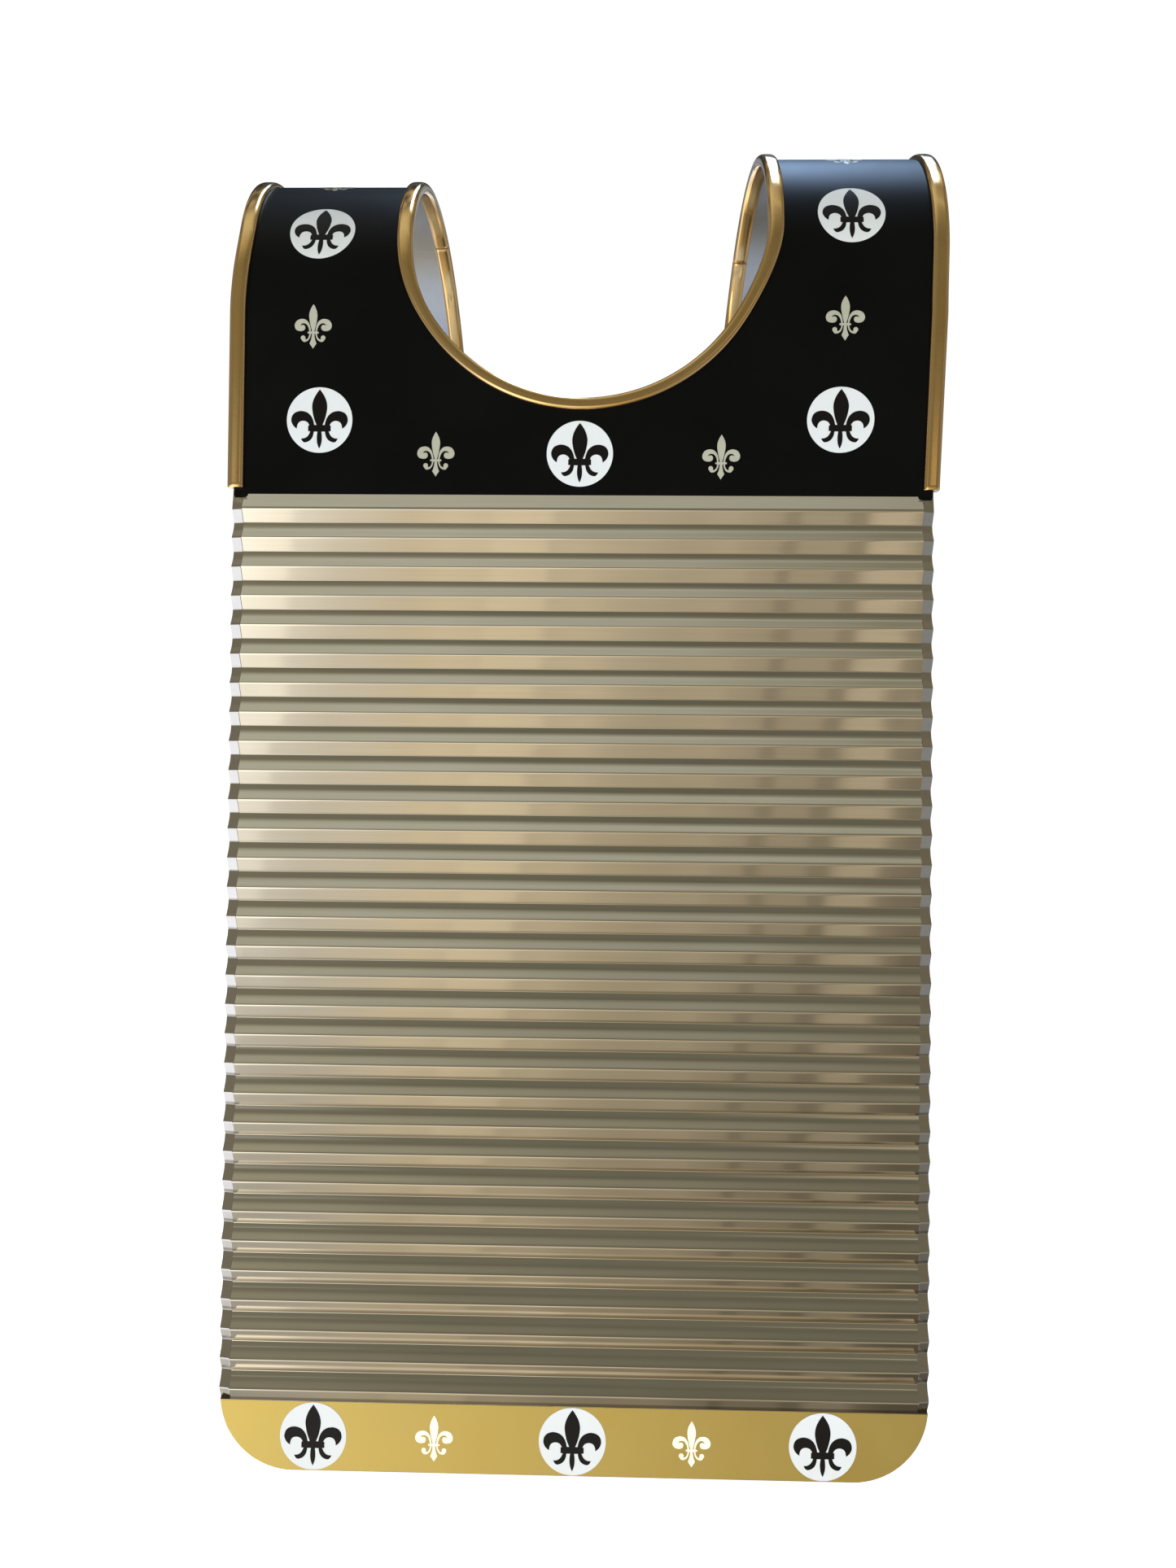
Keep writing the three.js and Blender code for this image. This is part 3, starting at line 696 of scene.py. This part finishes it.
def add_sticker(name, outline, scale, node, low, high, material, slot):
    """A thin layer with that flat outline, laid on the sheet where the CAD node is."""
    x0, s0 = decal_place(node)
    flat = bmesh.new()
    face = flat.faces.new([flat.verts.new((x * scale, y * scale, 0)) for x, y in outline])
    face.normal_update()
    if face.normal.z < 0:
        face.normal_flip()
    reach = max(y for _, y in outline) * scale
    for level in between(-reach, reach, STICKER_STEP)[1:]:
        geometry = flat.verts[:] + flat.edges[:] + flat.faces[:]
        bmesh.ops.bisect_plane(flat, geom=geometry, plane_co=(0, level, 0), plane_no=(0, 1, 0))
    bmesh.ops.triangulate(flat, faces=flat.faces[:])
    raised = bmesh.ops.extrude_face_region(flat, geom=flat.faces[:], use_keep_orig=True)
    for item in raised["geom"]:
        if isinstance(item, bmesh.types.BMVert):
            item.co.z = 1  # marks the top face until the points are laid on the sheet
    flat.verts.index_update()
    points = [on_sheet(x0 + v.co.x, s0 + v.co.y, high if v.co.z > 0.5 else low) for v in flat.verts]
    from_middle = [math.hypot(v.co.x, v.co.y) / scale for v in flat.verts]
    faces = [[v.index for v in f.verts] for f in flat.faces]
    flat.free()
    add_piece(name, points, faces, material, [node], attribute=("from_middle", from_middle))


# ---- materials ----


class Paint:
    """A material's nodes, with short ways to add and join them."""

    def __init__(self, name):
        self.material = bpy.data.materials.new(name)
        self.material.use_nodes = True
        self.nodes = self.material.node_tree.nodes
        self.links = self.material.node_tree.links
        self.shader = self.nodes["Principled BSDF"]
        self.place = self.nodes.new("ShaderNodeTexCoord").outputs["Object"]

    def stretched(self, scale, shift=(0, 0, 0)):
        """Board coordinates with a scale on each axis."""
        mapping = self.nodes.new("ShaderNodeMapping")
        mapping.inputs["Scale"].default_value = scale
        mapping.inputs["Location"].default_value = shift
        self.links.new(self.place, mapping.inputs["Vector"])
        return mapping.outputs["Vector"]

    def noise(self, scale, detail=3.0, roughness=0.55, shift=(0, 0, 0)):
        """Noise with a scale on each axis."""
        texture = self.nodes.new("ShaderNodeTexNoise")
        texture.inputs["Scale"].default_value = 1.0
        texture.inputs["Detail"].default_value = detail
        texture.inputs["Roughness"].default_value = roughness
        self.links.new(self.stretched(scale, shift), texture.inputs["Vector"])
        return texture.outputs["Fac"]

    def span(self, value, low, high, source=(0.3, 0.7)):
        """Maps a value onto a range of numbers."""
        node = self.nodes.new("ShaderNodeMapRange")
        node.inputs["From Min"].default_value = source[0]
        node.inputs["From Max"].default_value = source[1]
        node.inputs["To Min"].default_value = low
        node.inputs["To Max"].default_value = high
        self.links.new(value, node.inputs["Value"])
        return node.outputs["Result"]

    def smooth(self, value, source):
        """A smooth step from 0 to 1 over a range of the value."""
        node = self.nodes.new("ShaderNodeMapRange")
        node.interpolation_type = "SMOOTHSTEP"
        node.inputs["From Min"].default_value = source[0]
        node.inputs["From Max"].default_value = source[1]
        self.links.new(value, node.inputs["Value"])
        return node.outputs["Result"]

    def scaled(self, colour, amount):
        """A colour times a number."""
        node = self.nodes.new("ShaderNodeVectorMath")
        node.operation = "SCALE"
        self.links.new(colour, node.inputs[0])
        self.links.new(amount, node.inputs["Scale"])
        return node.outputs["Vector"]

    def sum(self, first, second, operation="ADD"):
        """Adds two colours, or joins them by another operation."""
        node = self.nodes.new("ShaderNodeVectorMath")
        node.operation = operation
        self.links.new(first, node.inputs[0])
        self.links.new(second, node.inputs[1])
        return node.outputs["Vector"]

    def product(self, first, second):
        return self.sum(first, second, "MULTIPLY")

    def blend(self, factor, first, second):
        """Mixes two colours, each a constant or an output."""
        node = self.nodes.new("ShaderNodeMix")
        node.data_type = "RGBA"
        self.links.new(factor, node.inputs["Factor"])
        for socket, colour in ((node.inputs[6], first), (node.inputs[7], second)):
            if isinstance(colour, tuple):
                socket.default_value = (*colour, 1)
            else:
                self.links.new(colour, socket)
        return node.outputs[2]

    def add(self, first, second, operation="ADD"):
        """Adds two numbers, or joins them by another operation. Each is a constant or an output."""
        node = self.nodes.new("ShaderNodeMath")
        node.operation = operation
        for socket, value in ((node.inputs[0], first), (node.inputs[1], second)):
            if isinstance(value, (int, float)):
                socket.default_value = value
            else:
                self.links.new(value, socket)
        return node.outputs[0]

    def bump(self, height, strength, distance):
        node = self.nodes.new("ShaderNodeBump")
        node.inputs["Strength"].default_value = strength
        node.inputs["Distance"].default_value = distance
        self.links.new(height, node.inputs["Height"])
        self.links.new(node.outputs["Normal"], self.shader.inputs["Normal"])

    def set(self, **values):
        """Sets or joins the shader's inputs by name."""
        for name, value in values.items():
            socket = self.shader.inputs[name.replace("_", " ").title().replace("Ior", "IOR")]
            if isinstance(value, bpy.types.NodeSocket):
                self.links.new(value, socket)
            elif isinstance(value, tuple):
                socket.default_value = (*value, 1)
            else:
                socket.default_value = value


def painted_valley_shade(paint):
    """Where the ribbed front gets painted shade: a line just above each valley, which widens towards the
    foot.
    """
    parts = paint.nodes.new("ShaderNodeSeparateXYZ")
    paint.links.new(paint.place, parts.inputs[0])
    down = paint.add(TOP * MM, parts.outputs["Z"], "SUBTRACT")
    share_of_rib = paint.add(paint.add(down, PITCH * MM, "DIVIDE"), 0.0, "FRACT")
    widening = paint.span(down, 0, 0.13, (0.16, 0.44))
    return paint.smooth(paint.add(share_of_rib, widening), (0.95, 1.03))


def steel_material(name, first, second, dull, shaded_valleys=False):
    """Rolled steel: fine grain across the board, faint rubbed patches and fine scratches."""
    paint = Paint(name)
    grain = paint.noise((14, 900, 900), 4)
    patches = paint.noise((9, 9, 7), 3)
    scuffs = paint.noise((60, 60, 420), 5, 0.7, (3, 1, 2))
    colour = paint.blend(paint.span(patches, 0, 1), first, second)
    colour = paint.blend(paint.span(grain, 0, 0.3), colour, (0.57, 0.53, 0.47))
    # Painted shade: the base colour is darkened to a dark tan just above each valley, where the creases are
    # in shade
    if shaded_valleys:
        colour = paint.blend(painted_valley_shade(paint), colour, (0.36, 0.325, 0.26))
    rough = paint.add(paint.span(patches, dull, dull + 0.015), paint.span(scuffs, -0.005, 0.01))
    paint.set(base_color=colour, roughness=rough, metallic=1.0, anisotropic=0.9)
    across_grain = paint.nodes.new("ShaderNodeCombineXYZ")
    across_grain.inputs["Z"].default_value = 1.0
    paint.set(tangent=across_grain.outputs[0])
    paint.bump(grain, 0.03, 0.0002)
    return paint.material


def film_material(name, first, second, roughness, metallic=0.0, grain=0.05, gloss=0.5):
    """Vinyl film: a near-even colour with a fine grain and slow changes of gloss."""
    paint = Paint(name)
    slow = paint.noise((14, 14, 14), 3)
    fine = paint.noise((1600, 1600, 1600), 2)
    paint.set(
        base_color=paint.blend(paint.span(slow, 0, 1), first, second),
        roughness=paint.span(slow, roughness - 0.04, roughness + 0.05),
        metallic=metallic,
        specular_ior_level=gloss,
    )
    paint.bump(fine, grain, 0.0001)
    return paint.material


def disc_material():
    """White vinyl whose cut edge and outermost ring are a little yellowed."""
    paint = Paint("white_vinyl")
    slow = paint.noise((30, 30, 30), 3)
    fine = paint.noise((1600, 1600, 1600), 2)
    attribute = paint.nodes.new("ShaderNodeAttribute")
    attribute.attribute_name = "from_middle"
    colour = paint.blend(paint.span(slow, 0, 1), (0.84, 0.88, 0.94), (0.87, 0.91, 0.98))
    ring = paint.span(attribute.outputs["Fac"], 0, 1, (0.93, 0.97))
    paint.set(base_color=paint.blend(ring, colour, (0.62, 0.6, 0.5)), roughness=paint.span(slow, 0.36, 0.46))
    paint.bump(fine, 0.05, 0.0001)
    return paint.material


def trim_material():
    """Polished gold-coloured trim with faint drawing lines and a slightly tarnished tone in places."""
    paint = Paint("gold_trim")
    slow = paint.noise((22, 22, 22), 4)
    lines = paint.noise((500, 500, 30), 3, 0.6, (5, 0, 1))
    specks = paint.noise((700, 700, 700), 3)
    colour = paint.blend(paint.span(slow, 0, 1), (0.93, 0.61, 0.25), (0.98, 0.67, 0.31))
    colour = paint.blend(paint.span(specks, 0, 0.25, (0.55, 0.8)), colour, (0.4, 0.26, 0.1))
    rough = paint.add(paint.span(slow, 0.09, 0.14), paint.span(lines, -0.02, 0.04))
    paint.set(base_color=colour, roughness=rough, metallic=1.0)
    paint.bump(lines, 0.08, 0.0001)
    return paint.material


# ---- studio ----

# Tones of light
CLEAR = (1.06, 1.03, 0.93)
WARM = (1.22, 1.05, 0.74)
COOL = (0.92, 0.99, 1.09)
SKY = (0.82, 0.98, 1.28)
PALE = (1.04, 1.04, 0.86)
OLIVE = (1.14, 1.08, 0.79)

# The room is light by angle, as rows of angle, level and tone, at four places across it. The angle is 0
# level in front of the board, 90 overhead, 180 level behind it and -90 below. A place is the sideways part
# of a direction.
ABOVE_LEFT = [
    (88, 0.24, CLEAR), (118, 0.18, CLEAR), (124, 0.05, COOL), (148, 0.06, COOL), (165, 0.6, SKY),
    (180, 1.4, SKY),
]
ABOVE_RIGHT = [
    (88, 0.5, CLEAR), (112, 0.6, CLEAR), (120, 0.06, COOL), (148, 0.1, COOL), (165, 0.6, SKY),
    (180, 1.4, SKY),
]
FAR_LEFT_ROOM = [
    (-180, 1.4, SKY), (-150, 0.9, SKY), (-135, 1.5, CLEAR), (-112, 0.3, CLEAR), (-95, 0.38, CLEAR),
    (-83, 0.5, CLEAR), (-73, 0.66, CLEAR), (-61, 0.95, CLEAR), (-46, 1.35, CLEAR), (-30, 1.75, CLEAR),
    (-14, 1.2, CLEAR), (0, 0.2, OLIVE), (11, 0.22, OLIVE), (13, 0.42, CLEAR), (15, 0.42, CLEAR),
    (18, 0.2, OLIVE), (35, 0.2, OLIVE), (42, 0.25, OLIVE), (51, 0.38, OLIVE), (60, 0.48, PALE),
    (64, 0.54, PALE), (70, 0.56, PALE), (77, 0.56, PALE), (84, 0.44, PALE), *ABOVE_LEFT,
]
LEFT_ROOM = [
    (-180, 1.4, SKY), (-150, 0.9, SKY), (-135, 1.5, CLEAR), (-112, 0.24, CLEAR), (-95, 0.3, WARM),
    (-83, 0.38, WARM), (-73, 0.53, WARM), (-61, 0.64, WARM), (-46, 0.67, WARM), (-30, 1.1, CLEAR),
    (-14, 0.8, CLEAR), (0, 0.17, OLIVE), (12, 0.19, OLIVE), (24, 0.18, OLIVE), (35, 0.17, OLIVE),
    (42, 0.22, OLIVE), (51, 0.34, OLIVE), (60, 0.46, PALE), (64, 0.52, PALE), (70, 0.55, PALE),
    (77, 0.55, PALE), (84, 0.42, PALE), *ABOVE_LEFT,
]
MIDDLE_ROOM = [
    (-180, 1.4, SKY), (-150, 0.8, SKY), (-135, 1.4, CLEAR), (-112, 0.16, CLEAR), (-95, 0.18, WARM),
    (-83, 0.23, WARM), (-73, 0.34, WARM), (-61, 0.43, WARM), (-46, 0.49, WARM), (-30, 0.62, WARM),
    (-14, 0.5, WARM), (0, 0.16, OLIVE), (12, 0.17, OLIVE), (24, 0.16, OLIVE), (35, 0.14, OLIVE),
    (42, 0.16, OLIVE), (51, 0.25, OLIVE), (60, 0.36, PALE), (64, 0.5, PALE), (70, 0.45, PALE),
    (77, 0.42, PALE), (84, 0.3, PALE), *ABOVE_RIGHT,
]
RIGHT_ROOM = [
    (-180, 1.4, SKY), (-150, 0.7, SKY), (-135, 1.2, CLEAR), (-112, 0.1, CLEAR), (-95, 0.1, WARM),
    (-83, 0.15, WARM), (-73, 0.22, WARM), (-61, 0.34, WARM), (-46, 0.45, WARM), (-30, 0.44, WARM),
    (-14, 0.36, WARM), (0, 0.17, OLIVE), (11, 0.18, OLIVE), (13, 0.42, WARM), (15, 0.42, WARM),
    (18, 0.16, OLIVE), (35, 0.14, OLIVE), (42, 0.16, OLIVE), (51, 0.19, OLIVE), (60, 0.26, OLIVE),
    (64, 0.46, PALE), (70, 0.28, OLIVE), (77, 0.25, OLIVE), (84, 0.18, OLIVE), *ABOVE_RIGHT,
]
ROOM = [(-0.29, FAR_LEFT_ROOM), (-0.16, LEFT_ROOM), (0.06, MIDDLE_ROOM), (0.21, RIGHT_ROOM)]

# A cool window above and behind the board, to its right
WINDOW_LIGHT = [(-180, 0.0, COOL), (85, 0.0, COOL), (92, 1.2, COOL), (112, 1.2, COOL), (132, 0.0, COOL)]
WINDOW_COLOUR = (4.7, 6.6, 9.3)
WINDOW_LEFT_EDGE = (-0.06, 0.05)
WINDOW_RIGHT_EDGE = (0.28, 0.17)

# Darker and lighter things that stand on the floor in front: place across at their angle, share of the light
FURNITURE = [
    (-0.345, 1.14), (-0.285, 1.14), (-0.25, 1.1), (-0.245, 0.9), (-0.21, 0.86), (-0.17, 0.95), (-0.13, 1.08),
    (-0.1, 1.08), (-0.096, 1.18), (-0.056, 1.18), (-0.05, 1.0), (-0.02, 1.06), (0.01, 0.94), (0.05, 0.9),
    (0.09, 0.98), (0.1, 0.9), (0.1255, 0.84), (0.1285, 0.64), (0.1365, 0.64), (0.1395, 0.84), (0.171, 0.86),
    (0.174, 0.66), (0.187, 0.68), (0.19, 1.0), (0.198, 1.18), (0.219, 1.22), (0.229, 0.78), (0.25, 0.6),
    (0.3, 0.6),
]
FURNITURE_ANGLE = -46.0
FURNITURE_SLANT = 0.54  # how far they move across per turn of the angle
FURNITURE_REACH = 0.35
FLOOR_EDGE = (-8, -26)  # angles over which the room's floor fades in

# The room's far sides: where each fades in, its light from the floor and its light from above
SIDES = [
    ((-0.4, -0.53), (1.25, 1.32, 1.5), (0.22, 0.20, 0.15)),
    ((0.36, 0.5), (0.3, 0.31, 0.32), (0.19, 0.17, 0.12)),
    ((-0.62, -0.82), (0.4, 0.41, 0.44), (0.24, 0.24, 0.25)),
    ((0.62, 0.82), (0.4, 0.41, 0.44), (0.24, 0.24, 0.25)),
]
BACKDROP = (1.05, 1.05, 1.05)  # what the camera sees behind the board


class World(Paint):
    """The world's nodes, with the same short ways to join them."""

    def __init__(self):
        world = bpy.data.worlds.new("studio")
        bpy.context.scene.world = world
        world.use_nodes = True
        self.nodes, self.links = world.node_tree.nodes, world.node_tree.links
        self.background = self.nodes["Background"]
        self.place = self.nodes.new("ShaderNodeTexCoord").outputs["Generated"]
        self.parts = self.nodes.new("ShaderNodeSeparateXYZ")
        self.links.new(self.place, self.parts.inputs[0])

    def ramp(self, value, stops, low, high):
        """A colour for each value from low to high, from places and colours."""
        node = self.nodes.new("ShaderNodeValToRGB")
        ramp = node.color_ramp
        ramp.elements.remove(ramp.elements[-1])
        for i, (place, colour) in enumerate(stops):
            position = (place - low) / (high - low)
            element = ramp.elements[0] if i == 0 else ramp.elements.new(position)
            element.position = position
            element.color = (*colour, 1)
        self.links.new(self.span(value, 0, 1, (low, high)), node.inputs["Fac"])
        return node.outputs["Color"]

    def light(self, angle, stops):
        """The colour for an angle, from rows of angle, level and tone."""
        toned = [(place, tuple(level * part for part in tone)) for place, level, tone in stops]
        return self.ramp(angle, toned, -180, 180)


def room_light(world, x, angle):
    """The room's light for a direction, by its place across and its angle."""
    light = world.light(angle, ROOM[0][1])
    for (before, _), (place, stops) in zip(ROOM, ROOM[1:]):
        share = world.span(x, 0, 1, (before, place))
        light = world.blend(share, light, world.light(angle, stops))
    below = world.smooth(angle, FLOOR_EDGE)
    turned = world.add(world.add(angle, -FURNITURE_ANGLE), -FURNITURE_SLANT / 360, "MULTIPLY")
    shades = [(place, (share,) * 3) for place, share in FURNITURE]
    shade = world.ramp(world.add(x, turned), shades, -FURNITURE_REACH, FURNITURE_REACH)
    light = world.product(light, world.blend(below, (1.0, 1.0, 1.0), shade))
    for edge, from_floor, from_above in SIDES:
        light = world.blend(world.smooth(x, edge), light, world.blend(below, from_above, from_floor))
    return light


def window_light(world, x, angle):
    opening = world.add(world.smooth(x, WINDOW_LEFT_EDGE), world.smooth(x, WINDOW_RIGHT_EDGE), "MULTIPLY")
    colour = world.blend(opening, (0.0, 0.0, 0.0), WINDOW_COLOUR)
    return world.product(world.light(angle, WINDOW_LIGHT), colour)


def studio_world():
    """A soft room: light from low on the left, a dim ceiling in front and a cool window behind."""
    world = World()
    x, y, z = (world.parts.outputs[axis] for axis in "XYZ")
    turn = world.add(z, world.add(y, -1.0, "MULTIPLY"), "ARCTAN2")
    angle = world.add(turn, 180 / math.pi, "MULTIPLY")
    light = world.sum(room_light(world, x, angle), window_light(world, x, angle))
    clutter = world.span(world.noise((9, 9, 9), 2), 0.3, 1.7, (0.42, 0.58))
    above = world.smooth(angle, (86, 94))
    uneven = world.add(above, world.add(clutter, -1), "MULTIPLY")
    light = world.scaled(light, world.add(1, uneven))
    seen = world.nodes.new("ShaderNodeLightPath").outputs["Is Camera Ray"]
    world.links.new(world.blend(seen, light, BACKDROP), world.background.inputs["Color"])


def add_light(name, place, target, size, power, colour):
    """A soft lamp that lights the pieces but isn't seen or mirrored."""
    light = bpy.data.lights.new(name, "AREA")
    light.shape = "RECTANGLE"
    light.size, light.size_y = size
    light.energy = power
    light.color = colour
    lamp = bpy.data.objects.new(name, light)
    bpy.context.scene.collection.objects.link(lamp)
    lamp.location = place
    lamp.rotation_mode = "QUATERNION"
    lamp.rotation_quaternion = (Vector(target) - Vector(place)).to_track_quat("-Z", "Y")
    lamp.visible_glossy = False
    lamp.visible_camera = False


def studio_floor():
    """A pale floor just under the board."""
    mesh = bpy.data.meshes.new("studio_floor")
    gap = 0.0005
    height = (TOP + BOTTOM) * MM - gap
    reach = 6.0
    corners = [(-reach, -reach), (reach, -reach), (reach, reach), (-reach, reach)]
    mesh.from_pydata([(x, y, height) for x, y in corners], [], [(0, 1, 2, 3)])
    paint = Paint("pale_floor")
    pale = paint.blend(paint.noise((2, 2, 2)), (0.9, 0.9, 0.9), (0.93, 0.93, 0.93))
    paint.set(base_color=pale, roughness=0.9, emission_color=(1.0, 1.0, 1.0), emission_strength=0.72)
    mesh.materials.append(paint.material)
    floor = bpy.data.objects.new("studio_floor", mesh)
    bpy.context.scene.collection.objects.link(floor)
    floor.visible_glossy = False


def studio_camera():
    """The camera that was fitted to the ribs and edges."""
    camera = bpy.data.objects.new("camera", bpy.data.cameras.new("camera"))
    bpy.context.scene.collection.objects.link(camera)
    bpy.context.scene.camera = camera
    camera.data.sensor_width = 36
    camera.data.lens = 28.99
    camera.data.clip_start = 0.01
    place = (0.02152, -0.76704, -0.37542)
    yaw, pitch, roll = -0.0236, 0.01614, 0.01021
    forward = Vector((math.sin(yaw) * math.cos(pitch), math.cos(yaw) * math.cos(pitch), math.sin(pitch)))
    level = Vector((math.cos(yaw), -math.sin(yaw), 0))
    upright = level.cross(forward)
    right = level * math.cos(roll) + upright * math.sin(roll)
    up = upright * math.cos(roll) - level * math.sin(roll)
    axes = Matrix((right, up, -forward)).transposed().to_4x4()
    camera.matrix_world = Matrix.Translation(place) @ axes


# ---- assembly ----


def add_disc(name, node, white, black):
    """A white disc and the black fleur-de-lis on it."""
    disc, emblem = disc_outline(), disc_fleur()
    disc_heights = (STICKER_UNDERSIDE, STICKER_TOP)
    emblem_heights = (EMBLEM_UNDERSIDE, EMBLEM_TOP)
    add_sticker(f"{name}_medallion", disc, DISC_RADIUS, f"{node}_disc", *disc_heights, white, "white_vinyl")
    add_sticker(f"{name}_emblem", emblem, DISC_RADIUS, f"{node}_fleur", *emblem_heights, black, "black_vinyl")


def add_small_fleur(name, node, material, slot):
    heights = (STICKER_UNDERSIDE, STICKER_TOP)
    add_sticker(f"{name}_motif", small_fleur(), SMALL_FLEUR_HEIGHT, node, *heights, material, slot)


def add_sheet():
    # The rolled steel gets painted shade just above each valley
    rolled = steel_material("rolled_steel", (0.68, 0.635, 0.56), (0.75, 0.705, 0.635), 0.045, shaded_valleys=True)
    satin = steel_material("satin_steel", (0.66, 0.68, 0.71), (0.72, 0.74, 0.77), 0.24)
    steel_front(rolled)
    steel_yoke(satin)


def add_films():
    black = film_material("black_film", (0.0016, 0.0016, 0.0014), (0.0026, 0.0025, 0.0022), 0.38, gloss=0.12)
    gold = film_material("gold_film", (0.59, 0.435, 0.115), (0.64, 0.48, 0.145), 0.34, metallic=0.88)
    yoke_wrap(black)
    foot_wrap(gold)


def add_trims():
    gold = trim_material()
    channel_trim("neck_moulding", neck_trim_path(), gold, "neck_trim")
    for side in ("left", "right"):
        channel_trim(f"{side}_moulding", side_trim_path(side), gold, f"{side}_side_trim")


def add_decals():
    white = disc_material()
    black = film_material("black_vinyl", (0.004, 0.003, 0.0024), (0.006, 0.0045, 0.0036), 0.38, gloss=0.2)
    champagne = film_material("champagne_vinyl", (0.44, 0.41, 0.27), (0.5, 0.46, 0.32), 0.36, metallic=0.25)
    cream = film_material("cream_vinyl", (0.84, 0.76, 0.46), (0.88, 0.8, 0.52), 0.42)
    for row in ("bib", "foot"):
        for place in ("left", "middle", "right"):
            add_disc(f"{row}_{place}", f"{row}_{place}", white, black)
    for place in ("left", "right"):
        add_small_fleur(f"bib_{place}", f"bib_{place}_small_fleur", champagne, "champagne_vinyl")
        add_small_fleur(f"foot_{place}", f"foot_{place}_small_fleur", cream, "cream_vinyl")
        for i in (2, 4, 6):
            add_disc(f"{place}_strap_{i}", f"{place}_strap_{i}", white, black)
        for i in (1, 3, 5):
            name = f"{place}_strap_{i}"
            add_small_fleur(name, f"{name}_small_fleur", champagne, "champagne_vinyl")


add_sheet()
add_films()
add_trims()
add_decals()
studio_world()
studio_floor()
add_light("key", (-1.3, -1.6, 0.1), (0, 0, -0.45), (1.6, 1.2), 0.8, (0.8, 0.92, 1.0))
add_light("front", (-0.1, -1.3, -0.4), (0, 0, -0.45), (1.6, 0.2), 8.5, (0.72, 0.8, 1.0))
add_light("low", (0, -0.9, -0.68), (0, 0, -0.72), (1.2, 0.1), 6.2, (0.6, 0.7, 1.0))
studio_camera()
bpy.context.scene.view_settings.view_transform = "Standard"
